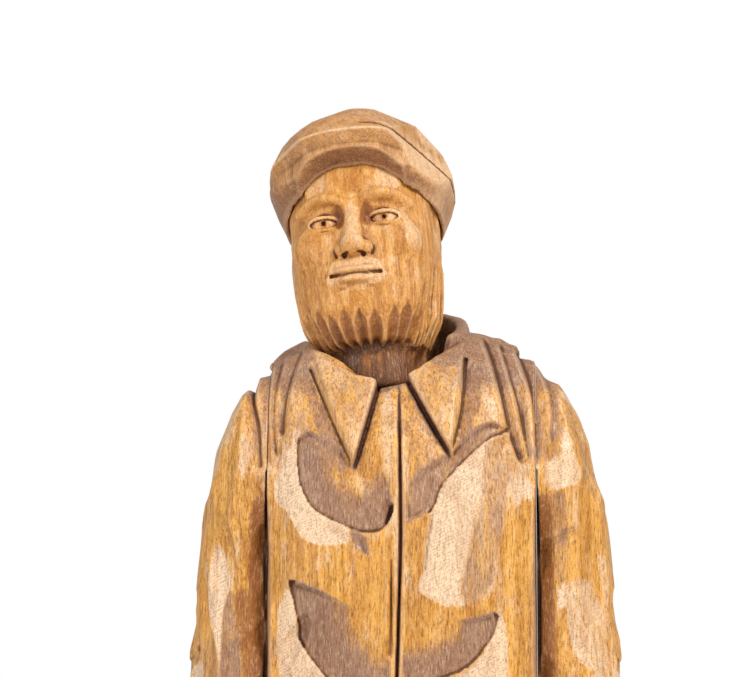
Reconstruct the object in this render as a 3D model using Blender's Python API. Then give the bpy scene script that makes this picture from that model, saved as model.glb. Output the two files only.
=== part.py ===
"""Carved wooden figurine: a bearded man in a flat cap and a pleated jacket, on a bevelled plinth.

The figure is glued up the way a carver builds one wider than his stock: a body block, two arm
blocks doweled to its flat sides, a head block set in the collar on a dowel, and a cap on top.
Two wood screws hold the boots to the plinth, and a sheet of felt under the plinth hides them.

Front faces -Y, +X is to the right of someone looking at the front, +Z is up.
The origin is on the surface the figurine stands on, under the middle of the plinth.
"""

import math

import bmesh
import bpy
from mathutils import Euler, Matrix, Vector

MM = 0.001

# Driving dimensions, in metres.
GLUE_GAP = 0.3 * MM
FELT_HEIGHT = 1.5 * MM
FELT_INSET = 2 * MM
PLINTH_WIDTH = 116 * MM
PLINTH_DEPTH = 88 * MM
PLINTH_HEIGHT = 16 * MM
PLINTH_BEVEL = 3 * MM
PLINTH_BOTTOM = FELT_HEIGHT + GLUE_GAP
PLINTH_TOP = PLINTH_BOTTOM + PLINTH_HEIGHT
SIDE_PLANE = 33.8 * MM  # the body block's flat sides, where the arm blocks are glued
ARM_RELIEF = 1.7 * MM  # how far the sawn gap stands off the glue face
ARMPIT = 214 * MM
POCKET_TOP = 136 * MM
WEB_FRONT = -11 * MM  # between these the arm was left standing against the body's side
WEB_BACK = 7 * MM
ARM_DOWEL_RADIUS = 3 * MM
ARM_DOWEL_LENGTH = 18 * MM
ARM_DOWEL_CHAMFER = 0.8 * MM
SHOULDER_DOWEL = Vector((0, 224)) * MM  # (y, height) on the glue plane
POCKET_DOWEL = Vector((-11, 127)) * MM
NECK_DOWEL_RADIUS = 4 * MM
NECK_DOWEL_LENGTH = 30 * MM
NECK_DOWEL_CHAMFER = 1 * MM
CAP_DOWEL_RADIUS = 2.5 * MM
CAP_DOWEL_LENGTH = 16 * MM
CAP_DOWEL_CHAMFER = 0.6 * MM
CAP_DOWEL_MIDDLE = Vector((0, 2, 58)) * MM
BOOT_X = 15.5 * MM
BOOT_TURN = math.radians(9)
SCREW_Y = 1 * MM
SCREW_LENGTH = 38 * MM
SCREW_POINT = 5 * MM
SCREW_TIP = 0.4 * MM  # radius of the blunt end
SCREW_SHANK = 2 * MM
SCREW_HEAD = 4 * MM
SCREW_RIM = 0.6 * MM  # height of the head's straight edge, and depth of its slot in the cone
SLOT_WIDTH = 1 * MM
COUNTERSINK = 2 * MM
FAR = 60 * MM  # how far a cutter reaches where it goes right through

# The head leans to the viewer's left, looks up a little and turns a little the same way.
HEAD_SEAT = Vector((-7, 2, 238)) * MM
HEAD_PITCH = math.radians(-8)
HEAD_LEAN = math.radians(-5.6)
HEAD_TURN = math.radians(-5)
# The cap sits on the head's crown, its rim raised at the front.
CAP_SEAT = Vector((0, 1, 52)) * MM
CAP_PITCH = math.radians(-14)

COLLAR_CENTRE = Vector((-4.3, 1.5)) * MM
COLLAR_TOP = 251.4 * MM
COLLAR_RISE_BACK = 0.36  # the collar's rim climbs this much for each unit towards the back
COLLAR_RISE_RIGHT = 0.08

# Height, half width, front and back of each level, in mm, and how square it is.
TORSO_LEVELS = (
    (104, 36.0, -25.5, 23.0, 3.2),
    (107, 37.0, -26.5, 24.0, 3.2),
    (134, 36.5, -25.5, 22.5, 3.0),
    (160, 36.0, -25.0, 20.5, 2.8),
    (185, 36.5, -25.5, 21.0, 2.8),
    (205, 37.0, -25.0, 22.5, 2.8),
    (220, 37.5, -23.0, 22.5, 2.7),
    (232, 37.0, -19.5, 21.0, 2.6),
    (241, 35.5, -15.5, 18.5, 2.5),
    (246, 31.5, -11.5, 15.5, 2.4),
    (249, 25.5, -8.0, 12.5, 2.3),
    (250.5, 19.0, -5.0, 9.0, 2.2),
)
COLLAR_LEVELS = (
    (-18, 24.0, -19.4, 22.6, 2.3),
    (-7, 22.2, -20.0, 21.8, 2.3),
    (0, 20.8, -19.4, 20.4, 2.2),
)
COLLAR_BOWL_LEVELS = (
    (-12, 14.8, -15.0, 14.6, 2.1),
    (-6, 16.6, -16.4, 17.2, 2.1),
    (3, 18.6, -17.8, 19.2, 2.1),
)
HIP_LEVELS = (
    (91, 28.6, -19.0, 18.6, 3.2),
    (112, 31.0, -22.0, 20.5, 3.2),
)
# Height, half width, front and back of one leg about its own centre line.
LEG_LEVELS = (
    (34, 10.4, -11.5, 12.5, 2.6),
    (44, 11.2, -12.0, 13.0, 2.6),
    (58, 11.4, -12.4, 13.4, 2.6),
    (76, 12.4, -14.4, 14.4, 2.6),
    (92, 13.3, -17.0, 16.4, 2.7),
    (106, 13.3, -17.4, 16.6, 2.7),
)
BOOT_LEVELS = (
    (0, 9.6, -27.0, 15.0, 2.8),
    (3.5, 9.8, -27.6, 15.2, 2.8),
    (4, 9.2, -26.8, 14.4, 2.8),
    (9, 9.4, -25.5, 14.0, 2.5),
    (14, 9.0, -18.0, 13.4, 2.4),
    (19, 8.8, -12.0, 12.4, 2.4),
    (26, 8.6, -9.8, 11.6, 2.4),
)
# Height, outer side, front and back of the arm block; its inner side is the glue plane.
ARM_LEVELS = (
    (117, 40.0, -21.5, -6.5),
    (118.5, 43.2, -23.4, -4.6),
    (122, 46.0, -24.6, -2.8),
    (128, 49.2, -24.8, -0.2),
    (137, 52.8, -23.0, 4.5),
    (146, 55.4, -19.5, 10.5),
    (154, 56.2, -17.5, 14.0),
    (163, 56.0, -16.0, 15.8),
    (178, 54.8, -15.5, 16.2),
    (194, 53.2, -16.5, 16.5),
    (208, 51.4, -17.5, 17.0),
    (220.5, 48.9, -17.5, 17.0),
    (228, 46.0, -16.5, 16.2),
    (234, 42.6, -14.8, 14.8),
    (239, 38.8, -12.4, 12.8),
    (241.5, 36.2, -10.0, 10.8),
)
# The head along its own axis, from the neck's seat: skull, cheeks, full beard and neck.
HEAD_LEVELS = (
    (-4.5, 13.8, -13.8, 13.0, 2.1),
    (5.5, 13.8, -14.2, 12.2, 2.1),
    (6.0, 13.8, -19.5, 12.2, 2.3),
    (9.5, 15.4, -22.6, 12.0, 2.5),
    (14.5, 18.2, -24.0, 12.4, 2.6),
    (22, 19.2, -24.2, 15.0, 2.6),
    (31, 19.7, -23.6, 19.0, 2.6),
    (40, 19.8, -22.0, 20.8, 2.5),
    (48, 19.4, -21.4, 21.0, 2.4),
    (54, 18.0, -20.0, 19.4, 2.3),
    (58, 15.0, -16.6, 16.4, 2.2),
    (60.5, 10.5, -11.0, 11.6, 2.1),
)
# Outline of the nose seen from the side, as (out from the head's axis, height), and its half widths.
NOSE_OUTLINE = ((-20.0, 42.0), (-23.4, 38.0), (-27.2, 30.6), (-26.4, 28.2), (-20.0, 27.6))
NOSE_HALF_WIDTH = 2.0
# The cap about its own seat: band, rim with the visor at the front, and the flat crown.
CAP_LEVELS = (
    (-10.5, 20.8, -18.5, 23.0, 2.3),
    (-7.5, 21.8, -23.4, 24.4, 2.3),
    (-3.0, 23.6, -28.0, 25.8, 2.3),
    (-0.4, 24.4, -31.0, 26.2, 2.3),
    (1.2, 24.4, -31.2, 26.2, 2.3),
    (1.8, 24.1, -29.6, 26.0, 2.3),
    (7.0, 22.2, -27.0, 25.0, 2.2),
    (12.0, 18.6, -23.0, 21.6, 2.1),
    (16.5, 13.0, -16.6, 15.6, 2.0),
    (19.3, 7.6, -9.6, 9.2, 2.0),
    (20.2, 4.0, -5.0, 5.0, 2.0),
)
# Corners of the two collar wings seen from the front, as (x, height): outer, inner and tip.
COLLAR_WINGS = {
    "left": ((-23.7, 246.0), (-5.3, 235.5), (-11.3, 214.5)),
    "right": ((16.2, 247.5), (0.8, 237.0), (12.7, 217.6)),
}
# The cove under the visor, an ellipsoid about the cap's seat: its middle and its half sizes.
COVE_CENTRE = Vector((0, -32, -14.8)) * MM
COVE_REACH = Vector((30, 19, 13)) * MM
WING_FRONT = -27 * MM
WING_BACK = -10 * MM
WING_PROUD = 1.2 * MM  # how far the wings stand off the chest
# The open front of the collar seen from the front, as (x, height), and how far back it is cut.
NECKLINE = ((-24.5, 247.0), (-5.0, 236.1), (0.6, 237.4), (17.0, 248.6), (17.0, 262.0), (-24.5, 262.0))
NECKLINE_BACK = -8 * MM
# The groove beside the button band, as (x, height), and how deep into the jacket it reaches.
PLACKET_GROOVE = ((-1.9, 241), (-0.9, 241), (-2.4, 109), (-3.4, 109))
PLACKET_FLOOR = -23.2 * MM

# The sides of a ring, of a round peg and of a leg.
BODY_SIDES = 36
LIMB_SIDES = 20
PEG_SIDES = 24


def clear_scene():
    for obj in list(bpy.data.objects):
        bpy.data.objects.remove(obj)


def wood(name, colour, roughness=0.5):
    material = bpy.data.materials.new(name)
    material.use_nodes = True
    shader = material.node_tree.nodes["Principled BSDF"]
    shader.inputs["Base Color"].default_value = (*colour, 1.0)
    shader.inputs["Roughness"].default_value = roughness
    return material


def metal(name, colour):
    material = wood(name, colour, roughness=0.35)
    material.node_tree.nodes["Principled BSDF"].inputs["Metallic"].default_value = 1.0
    return material


def add_object(name, bm, material=None, sharp_angle=35):
    """A mesh object from a bmesh whose faces are closed; it frees the bmesh."""
    bmesh.ops.recalc_face_normals(bm, faces=bm.faces)
    mesh = bpy.data.meshes.new(name)
    bm.to_mesh(mesh)
    bm.free()
    mesh.shade_smooth()
    mesh.set_sharp_from_angle(angle=math.radians(sharp_angle))
    if material:
        mesh.materials.append(material)
    obj = bpy.data.objects.new(name, mesh)
    bpy.context.scene.collection.objects.link(obj)
    return obj


def superellipse(half_width, front, back, squareness, sides):
    """Points of a rounded outline about (0, 0); front and back are its reach along Y."""
    points = []
    for i in range(sides):
        angle = 2 * math.pi * (i + 0.5) / sides
        c, s = math.cos(angle), math.sin(angle)
        x = half_width * math.copysign(abs(c) ** (2 / squareness), c)
        reach = back if s > 0 else -front
        y = reach * math.copysign(abs(s) ** (2 / squareness), s)
        points.append(Vector((x, y, 0)))
    return points


def loft(name, rings, material=None):
    """A closed skin over rings of equal count, from the lowest to the highest."""
    bm = bmesh.new()
    levels = [[bm.verts.new(point) for point in ring] for ring in rings]
    for low, high in zip(levels, levels[1:]):
        for i in range(len(low)):
            j = (i + 1) % len(low)
            bm.faces.new((low[i], low[j], high[j], high[i]))
    for end in (levels[0], levels[-1]):
        middle = bm.verts.new(sum((v.co for v in end), Vector()) / len(end))
        for i in range(len(end)):
            bm.faces.new((end[i], end[(i + 1) % len(end)], middle))
    return add_object(name, bm, material)


def rings_from(levels, sides, centre=Vector(), grow=0.0):
    """Rings of a table of levels in mm, in metres about a centre, each pushed out by grow."""
    rings = []
    last = len(levels) - 1
    for index, (height, half_width, front, back, squareness) in enumerate(levels):
        lift = grow * ((index == last) - (index == 0))
        ring = superellipse(
            half_width * MM + grow, front * MM - grow, back * MM + grow, squareness, sides
        )
        rings.append([p + centre + Vector((0, 0, height * MM + lift)) for p in ring])
    return rings


def in_metres(outline):
    return [(a * MM, b * MM) for a, b in outline]


def prism(name, outline, low, high, axis):
    """A flat outline of (a, b) points drawn out along one axis, 0 for X or 1 for Y."""
    bm = bmesh.new()
    ends = []
    for depth in (low, high):
        corners = []
        for a, b in outline:
            corners.append(bm.verts.new((depth, a, b) if axis == 0 else (a, depth, b)))
        bm.faces.new(corners)
        ends.append(corners)
    for i in range(len(outline)):
        j = (i + 1) % len(outline)
        bm.faces.new((ends[0][i], ends[0][j], ends[1][j], ends[1][i]))
    return add_object(name, bm)


def box(name, low, high):
    bm = bmesh.new()
    bmesh.ops.create_cube(bm, size=1)
    size = Vector(high) - Vector(low)
    bmesh.ops.scale(bm, vec=size, verts=bm.verts)
    bmesh.ops.translate(bm, vec=(Vector(high) + Vector(low)) / 2, verts=bm.verts)
    return add_object(name, bm)


def peg(name, radius, length, matrix, material=None, chamfer=0.0):
    """A round peg about its middle, drawn along the matrix's Z, with chamfered ends."""
    bm = bmesh.new()
    half = length / 2
    profile = [(radius, -half), (radius, half)]
    if chamfer:
        profile = [
            (radius - chamfer, -half),
            (radius, -half + chamfer),
            (radius, half - chamfer),
            (radius - chamfer, half),
        ]
    rings = []
    for r, z in profile:
        turn = [2 * math.pi * i / PEG_SIDES for i in range(PEG_SIDES)]
        rings.append([bm.verts.new((r * math.cos(t), r * math.sin(t), z)) for t in turn])
    for low, high in zip(rings, rings[1:]):
        for i in range(PEG_SIDES):
            j = (i + 1) % PEG_SIDES
            bm.faces.new((low[i], low[j], high[j], high[i]))
    bm.faces.new(rings[0])
    bm.faces.new(rings[-1])
    obj = add_object(name, bm, material)
    obj.matrix_world = matrix
    return obj


def combine(target, tool, operation):
    """Joins a tool shape to a solid or cuts it away; the tool itself isn't part of the object."""
    tool.hide_render = True
    tool.display_type = "WIRE"
    boolean = target.modifiers.new(operation.title() + " " + tool.name, "BOOLEAN")
    boolean.operation = operation
    boolean.object = tool
    boolean.solver = "EXACT"


def head_matrix():
    tilt = Euler((HEAD_PITCH, HEAD_LEAN, HEAD_TURN), "XYZ").to_matrix().to_4x4()
    return Matrix.Translation(HEAD_SEAT) @ tilt


def cap_matrix():
    tilt = Matrix.Rotation(CAP_PITCH, 4, "X")
    return head_matrix() @ Matrix.Translation(CAP_SEAT) @ tilt


def neck_dowel_matrix():
    return head_matrix()


def cap_dowel_matrix():
    return head_matrix() @ Matrix.Translation(CAP_DOWEL_MIDDLE)


def arm_dowel_places():
    """Each arm dowel's name and its middle, on the glue plane."""
    places = {}
    for side, sign in (("left", -1), ("right", 1)):
        x = sign * (SIDE_PLANE + GLUE_GAP / 2)
        places[f"{side}_shoulder_dowel"] = Vector((x, *SHOULDER_DOWEL))
        places[f"{side}_pocket_dowel"] = Vector((x, *POCKET_DOWEL))
    return places


def along_x(place):
    return Matrix.Translation(place) @ Matrix.Rotation(math.pi / 2, 4, "Y")


def boot_matrix(sign):
    return Matrix.Translation((sign * BOOT_X, 0, PLINTH_TOP)) @ Matrix.Rotation(
        -sign * BOOT_TURN, 4, "Z"
    )


def screw_matrix(sign):
    return Matrix.Translation((sign * BOOT_X, SCREW_Y, PLINTH_BOTTOM))


def cut_arm_dowel_holes(target, sign):
    for name, place in arm_dowel_places().items():
        if place.x * sign < 0:
            continue
        hole = peg(
            f"hole_{target.name}_{name}",
            ARM_DOWEL_RADIUS + GLUE_GAP,
            ARM_DOWEL_LENGTH + 2 * GLUE_GAP,
            along_x(place),
        )
        combine(target, hole, "DIFFERENCE")


def make_collar(body):
    """The stand collar: a raised ring with a sloping rim, and the bowl that takes the neck."""
    centre = COLLAR_CENTRE.to_3d()

    def sloped(levels):
        rings = rings_from(levels, BODY_SIDES, Vector((0, 0, COLLAR_TOP)))
        for ring in rings:
            for p in ring:
                p.z += COLLAR_RISE_BACK * p.y + COLLAR_RISE_RIGHT * p.x
        return [[p + centre for p in ring] for ring in rings]

    combine(body, loft("collar_ring", sloped(COLLAR_LEVELS)), "UNION")
    combine(body, loft("collar_bowl", sloped(COLLAR_BOWL_LEVELS)), "DIFFERENCE")
    for side, corners in COLLAR_WINGS.items():
        wing = prism(f"wing_{side}", in_metres(corners), WING_FRONT, WING_BACK, axis=1)
        slab = loft(f"wing_slab_{side}", rings_from(TORSO_LEVELS, BODY_SIDES, grow=WING_PROUD))
        combine(wing, slab, "INTERSECT")
        combine(body, wing, "UNION")
    combine(body, prism("neckline", in_metres(NECKLINE), -FAR, NECKLINE_BACK, axis=1), "DIFFERENCE")


def make_body(material):
    """Jacket, trousers and boots, carved from the middle block."""
    body = loft("body", rings_from(TORSO_LEVELS, BODY_SIDES), material)
    combine(body, loft("hips", rings_from(HIP_LEVELS, BODY_SIDES)), "UNION")
    for sign, side in ((-1, "left"), (1, "right")):
        centre = Vector((sign * BOOT_X, 0, 0))
        leg = loft(f"leg_{side}", rings_from(LEG_LEVELS, LIMB_SIDES, centre))
        combine(body, leg, "UNION")
        boot = loft(f"boot_{side}", rings_from(BOOT_LEVELS, LIMB_SIDES))
        boot.matrix_world = Matrix.Translation((0, 0, GLUE_GAP)) @ boot_matrix(sign)
        combine(body, boot, "UNION")
    make_collar(body)
    sides = box("block", (-SIDE_PLANE, -FAR, 0), (SIDE_PLANE, FAR, COLLAR_TOP + FAR))
    combine(body, sides, "INTERSECT")
    combine(body, head_solid("head_room", grow=GLUE_GAP), "DIFFERENCE")
    placket = prism("placket_cut", in_metres(PLACKET_GROOVE), -FAR, PLACKET_FLOOR, axis=1)
    combine(body, placket, "DIFFERENCE")
    for sign in (-1, 1):
        cut_arm_dowel_holes(body, sign)
        pilot = peg(
            f"pilot_{sign}",
            SCREW_SHANK + GLUE_GAP,
            2 * SCREW_LENGTH + 2 * GLUE_GAP,
            screw_matrix(sign),
        )
        combine(body, pilot, "DIFFERENCE")
    neck_hole = peg(
        "neck_hole_body",
        NECK_DOWEL_RADIUS + GLUE_GAP,
        NECK_DOWEL_LENGTH + 2 * GLUE_GAP,
        neck_dowel_matrix(),
    )
    combine(body, neck_hole, "DIFFERENCE")
    return body


def arm_ring(height, outer, front, back, sign):
    """One level of an arm block: round outside, flat where it meets the body block."""
    inner = SIDE_PLANE + GLUE_GAP
    reach = outer * MM - inner
    middle = (front + back) / 2 * MM
    half = (back - front) / 2 * MM
    ring = []
    for p in superellipse(1.0, -1.0, 1.0, 2.5, LIMB_SIDES):
        x = inner + reach * max(p.x, 0.0)
        ring.append(Vector((sign * x, middle + half * p.y, height * MM)))
    return ring


def make_arm(name, sign, material):
    """Sleeve from shoulder to elbow, and the forearm that runs forward into a jacket pocket."""
    arm = loft(name, [arm_ring(*level, sign) for level in ARM_LEVELS], material)
    near = SIDE_PLANE - MM
    far = SIDE_PLANE + ARM_RELIEF
    corners = ((near, ARMPIT), (far, ARMPIT - 3 * MM), (far, POCKET_TOP + 4 * MM), (near, POCKET_TOP))
    outline = [(sign * x, z) for x, z in corners]
    for where, start, end in (("front", -FAR, WEB_FRONT), ("back", WEB_BACK, FAR)):
        kerf = prism(f"kerf_{where}_{name}", outline, start, end, axis=1)
        combine(arm, kerf, "DIFFERENCE")
    cut_arm_dowel_holes(arm, sign)
    return arm


def head_solid(name, material=None, grow=0.0):
    head = loft(name, rings_from(HEAD_LEVELS, LIMB_SIDES + 4, grow=grow), material)
    head.matrix_world = head_matrix()
    return head


def make_head(material):
    head = head_solid("head", material)
    half = NOSE_HALF_WIDTH * MM
    nose = prism("nose", in_metres(NOSE_OUTLINE), -half, half, axis=0)
    nose.matrix_world = head_matrix()
    combine(head, nose, "UNION")
    for name, radius, length, matrix in (
        ("neck_hole_head", NECK_DOWEL_RADIUS, NECK_DOWEL_LENGTH, neck_dowel_matrix()),
        ("cap_hole_head", CAP_DOWEL_RADIUS, CAP_DOWEL_LENGTH, cap_dowel_matrix()),
    ):
        hole = peg(name, radius + GLUE_GAP, length + 2 * GLUE_GAP, matrix)
        combine(head, hole, "DIFFERENCE")
    return head


def make_cap(material):
    cap = loft("cap", rings_from(CAP_LEVELS, BODY_SIDES), material)
    cap.matrix_world = cap_matrix()
    bm = bmesh.new()
    bmesh.ops.create_uvsphere(bm, u_segments=36, v_segments=18, radius=1)
    bmesh.ops.scale(bm, vec=COVE_REACH, verts=bm.verts)
    cove = add_object("cove", bm)
    cove.matrix_world = cap_matrix() @ Matrix.Translation(COVE_CENTRE)
    combine(cap, cove, "DIFFERENCE")
    combine(cap, head_solid("head_in_cap", grow=GLUE_GAP), "DIFFERENCE")
    hole = peg(
        "cap_hole",
        CAP_DOWEL_RADIUS + GLUE_GAP,
        CAP_DOWEL_LENGTH + 2 * GLUE_GAP,
        cap_dowel_matrix(),
    )
    combine(cap, hole, "DIFFERENCE")
    return cap


def cone(name, grow, matrix):
    """The countersink's cutter: the screw head's cone, pushed out by grow."""
    depth = COUNTERSINK + SCREW_HEAD - SCREW_SHANK
    profile = (
        (SCREW_HEAD + grow, -MM),
        (SCREW_HEAD + grow, COUNTERSINK),
        (SCREW_SHANK + grow, depth + grow),
    )
    rings = []
    for r, z in profile:
        ring = superellipse(r, -r, r, 2.0, PEG_SIDES)
        rings.append([matrix @ (p + Vector((0, 0, z))) for p in ring])
    return loft(name, rings)


def make_plinth(material):
    bm = bmesh.new()
    bmesh.ops.create_cube(bm, size=1)
    bmesh.ops.scale(bm, vec=(PLINTH_WIDTH, PLINTH_DEPTH, PLINTH_HEIGHT), verts=bm.verts)
    bmesh.ops.translate(bm, vec=(0, 0, PLINTH_BOTTOM + PLINTH_HEIGHT / 2), verts=bm.verts)
    upper = [e for e in bm.edges if all(v.co.z > PLINTH_TOP - MM for v in e.verts)]
    corners = [e for e in bm.edges if abs(e.verts[0].co.z - e.verts[1].co.z) > MM]
    bmesh.ops.bevel(
        bm, geom=upper + corners, offset=PLINTH_BEVEL, segments=1, affect="EDGES"
    )
    plinth = add_object("plinth", bm, material)
    for sign in (-1, 1):
        place = screw_matrix(sign)
        shank = peg(f"shank_hole_{sign}", SCREW_SHANK + GLUE_GAP, FAR, place)
        combine(plinth, shank, "DIFFERENCE")
        sink = cone(f"countersink_{sign}", GLUE_GAP, place)
        combine(plinth, sink, "DIFFERENCE")
    return plinth


def make_screw(name, sign, material):
    """A slotted countersunk wood screw, head down, its thread left plain."""
    profile = (
        (SCREW_HEAD, COUNTERSINK - SCREW_RIM),
        (SCREW_HEAD, COUNTERSINK),
        (SCREW_SHANK, COUNTERSINK + SCREW_HEAD - SCREW_SHANK),
        (SCREW_SHANK, SCREW_LENGTH - SCREW_POINT),
        (SCREW_TIP, SCREW_LENGTH),
    )
    rings = []
    for r, z in profile:
        rings.append([p + Vector((0, 0, z)) for p in superellipse(r, -r, r, 2.0, PEG_SIDES)])
    screw = loft(name, rings, material)
    screw.matrix_world = screw_matrix(sign)
    half_slot = SLOT_WIDTH / 2
    slot = box(
        f"slot_{name}",
        (-SCREW_HEAD - MM, -half_slot, 0),
        (SCREW_HEAD + MM, half_slot, COUNTERSINK + SCREW_RIM),
    )
    slot.matrix_world = screw_matrix(sign)
    combine(screw, slot, "DIFFERENCE")
    return screw


def make_felt(material):
    half_width = PLINTH_WIDTH / 2 - FELT_INSET
    half_depth = PLINTH_DEPTH / 2 - FELT_INSET
    sheet = box("felt_sheet", (-half_width, -half_depth, 0), (half_width, half_depth, FELT_HEIGHT))
    sheet.data.materials.append(material)


def main():
    clear_scene()
    body_wood = wood("body_wood", (0.58, 0.36, 0.16))
    head_wood = wood("head_wood", (0.72, 0.42, 0.14))
    cap_wood = wood("cap_wood", (0.50, 0.30, 0.15), roughness=0.42)
    plinth_wood = wood("plinth_wood", (0.34, 0.19, 0.09))
    dowel_wood = wood("dowel_wood", (0.78, 0.62, 0.42), roughness=0.7)
    screw_steel = metal("screw_steel", (0.62, 0.56, 0.42))
    felt = wood("felt", (0.10, 0.07, 0.05), roughness=1.0)

    make_body(body_wood)
    make_arm("arm_left", -1, body_wood)
    make_arm("arm_right", 1, body_wood)
    make_head(head_wood)
    make_cap(cap_wood)
    make_plinth(plinth_wood)
    dowels = [
        ("neck_dowel", NECK_DOWEL_RADIUS, NECK_DOWEL_LENGTH, neck_dowel_matrix(), NECK_DOWEL_CHAMFER),
        ("cap_dowel", CAP_DOWEL_RADIUS, CAP_DOWEL_LENGTH, cap_dowel_matrix(), CAP_DOWEL_CHAMFER),
    ]
    for name, place in arm_dowel_places().items():
        dowels.append(
            (name, ARM_DOWEL_RADIUS, ARM_DOWEL_LENGTH, along_x(place), ARM_DOWEL_CHAMFER)
        )
    for name, radius, length, matrix, chamfer in dowels:
        peg(name, radius, length, matrix, dowel_wood, chamfer)
    make_screw("base_screw_left", -1, screw_steel)
    make_screw("base_screw_right", 1, screw_steel)
    make_felt(felt)


main()
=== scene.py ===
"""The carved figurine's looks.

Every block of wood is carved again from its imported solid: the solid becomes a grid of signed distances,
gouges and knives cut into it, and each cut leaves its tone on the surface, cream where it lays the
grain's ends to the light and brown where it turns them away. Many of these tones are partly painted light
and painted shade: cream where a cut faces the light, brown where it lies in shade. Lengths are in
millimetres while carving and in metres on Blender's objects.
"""

import itertools
import math

import bmesh
import bpy
import numpy as np
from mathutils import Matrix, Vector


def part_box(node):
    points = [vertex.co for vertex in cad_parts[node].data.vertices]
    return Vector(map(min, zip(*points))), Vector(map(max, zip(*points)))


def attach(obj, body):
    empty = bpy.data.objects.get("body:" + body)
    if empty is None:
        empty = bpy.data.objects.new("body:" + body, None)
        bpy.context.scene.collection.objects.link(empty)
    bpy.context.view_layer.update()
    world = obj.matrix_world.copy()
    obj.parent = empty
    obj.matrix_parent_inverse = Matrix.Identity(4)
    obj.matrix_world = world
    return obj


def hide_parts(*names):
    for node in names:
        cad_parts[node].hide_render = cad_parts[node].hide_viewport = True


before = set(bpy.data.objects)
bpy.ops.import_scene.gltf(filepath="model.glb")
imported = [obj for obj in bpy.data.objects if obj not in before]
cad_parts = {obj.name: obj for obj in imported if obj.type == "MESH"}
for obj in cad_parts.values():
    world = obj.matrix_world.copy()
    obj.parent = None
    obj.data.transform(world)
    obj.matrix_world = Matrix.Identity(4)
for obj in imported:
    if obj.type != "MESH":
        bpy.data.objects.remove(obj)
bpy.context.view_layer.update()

import openvdb as vdb
from mathutils import Euler, Matrix, Vector

RANDOM = np.random.default_rng(11)

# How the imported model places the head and, on the head, the cap (mm and radians, as in the model).
HEAD_SEAT = Vector((-7, 2, 238))
HEAD_TILT = Euler((math.radians(-8), math.radians(-5.6), math.radians(-5)), "XYZ")
CAP_SEAT = Vector((0, 1, 52))
CAP_PITCH = math.radians(-14)

BAND = 5.0  # distances are kept up to this far from the surface
MARGIN = 2.5
FIGURE_CELL = 0.42
HEAD_CELL = 0.27
CAP_CELL = 0.35
PLINTH_CELL = 0.5
RELIEF_CELL = 0.3
MOST_TRIANGLES = {"body": 195000, "head": 190000, "cap": 90000, "arm": 80000, "plinth": 40000}
DEEPEST = 1.3  # how much deeper than its middle a flat stroke may cut
GLUE_LINE = 0.04  # half of the hairline left between the body block and an arm block

# What a cut shows: how cream and how brown its surface is; plain side grain is golden.
GOLD = (0.0, 0.0)
CREAM = (1.0, 0.0)
PALE = (0.5, 0.0)
BROWN = (0.0, 1.0)
TAN = (0.0, 0.5)
DARK = (0.0, 1.6)
PAINTED_SHADE_AMBER = (-1.0, 0.2)  # painted shade, an amber dark for the deepest shadow


# --- Curves and outlines ---------------------------------------------------------------------------


def curve(points, closed=False, steps=6):
    """Points along a smooth curve through the given ones."""
    p = np.array(points, float)
    n = len(p)
    if closed:
        ring = [p[(i - 1) % n] for i in range(n + 3)]
    else:
        ring = [2 * p[0] - p[1], *p, 2 * p[-1] - p[-2]]
    out = []
    for a, b, c, d in zip(ring, ring[1:], ring[2:], ring[3:]):
        for s in np.arange(steps) / steps:
            out.append(
                0.5 * (2 * b + (c - a) * s + (2 * a - 5 * b + 4 * c - d) * s**2
                       + (3 * b - a - 3 * c + d) * s**3)
            )
    if not closed:
        out.append(p[-1])
    return np.array(out)


def path_distance(path, u, v):
    """Distance from an open path, how far along it (0 to 1) the nearest point is, and the side."""
    best = np.full(np.broadcast(u, v).shape, np.inf)
    along = np.zeros_like(best)
    side = np.zeros_like(best)
    lengths = np.hypot(*(path[1:] - path[:-1]).T)
    start = 0.0
    for (au, av), (bu, bv), length in zip(path, path[1:], lengths):
        eu, ev = bu - au, bv - av
        t = np.clip(((u - au) * eu + (v - av) * ev) / (length**2), 0, 1)
        d = np.hypot(u - au - t * eu, v - av - t * ev)
        nearer = d < best
        best = np.where(nearer, d, best)
        along = np.where(nearer, (start + t * length) / lengths.sum(), along)
        side = np.where(nearer, np.sign(eu * (v - av) - ev * (u - au)), side)
        start += length
    return best, along, side


def outline_distance(outline, u, v):
    """Signed distance from a closed outline, negative inside."""
    best = np.full(np.broadcast(u, v).shape, np.inf)
    inside = np.zeros(best.shape, bool)
    for (au, av), (bu, bv) in zip(outline, np.roll(outline, -1, axis=0)):
        eu, ev = bu - au, bv - av
        t = np.clip(((u - au) * eu + (v - av) * ev) / (eu**2 + ev**2), 0, 1)
        best = np.minimum(best, np.hypot(u - au - t * eu, v - av - t * ev))
        spans = (av > v) != (bv > v)
        inside ^= spans & (u < au + (v - av) * eu / (ev if ev else 1.0))
    return np.where(inside, -best, best)


def ease(x, low, high):
    """0 at low, 1 at high, smooth between."""
    t = np.clip((x - low) / (high - low), 0, 1)
    return t * t * (3 - 2 * t)


def unit(vector):
    vector = np.array(vector, float)
    return vector / np.linalg.norm(vector)


def smooth_min(a, b, k):
    """The lesser of two distances, with the corner between them rounded over k."""
    h = np.clip(0.5 + 0.5 * (b - a) / k, 0, 1)
    return b + (a - b) * h - k * h * (1 - h)


# --- Reliefs: depths drawn on a flat or unrolled side of a block ------------------------------------


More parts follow.
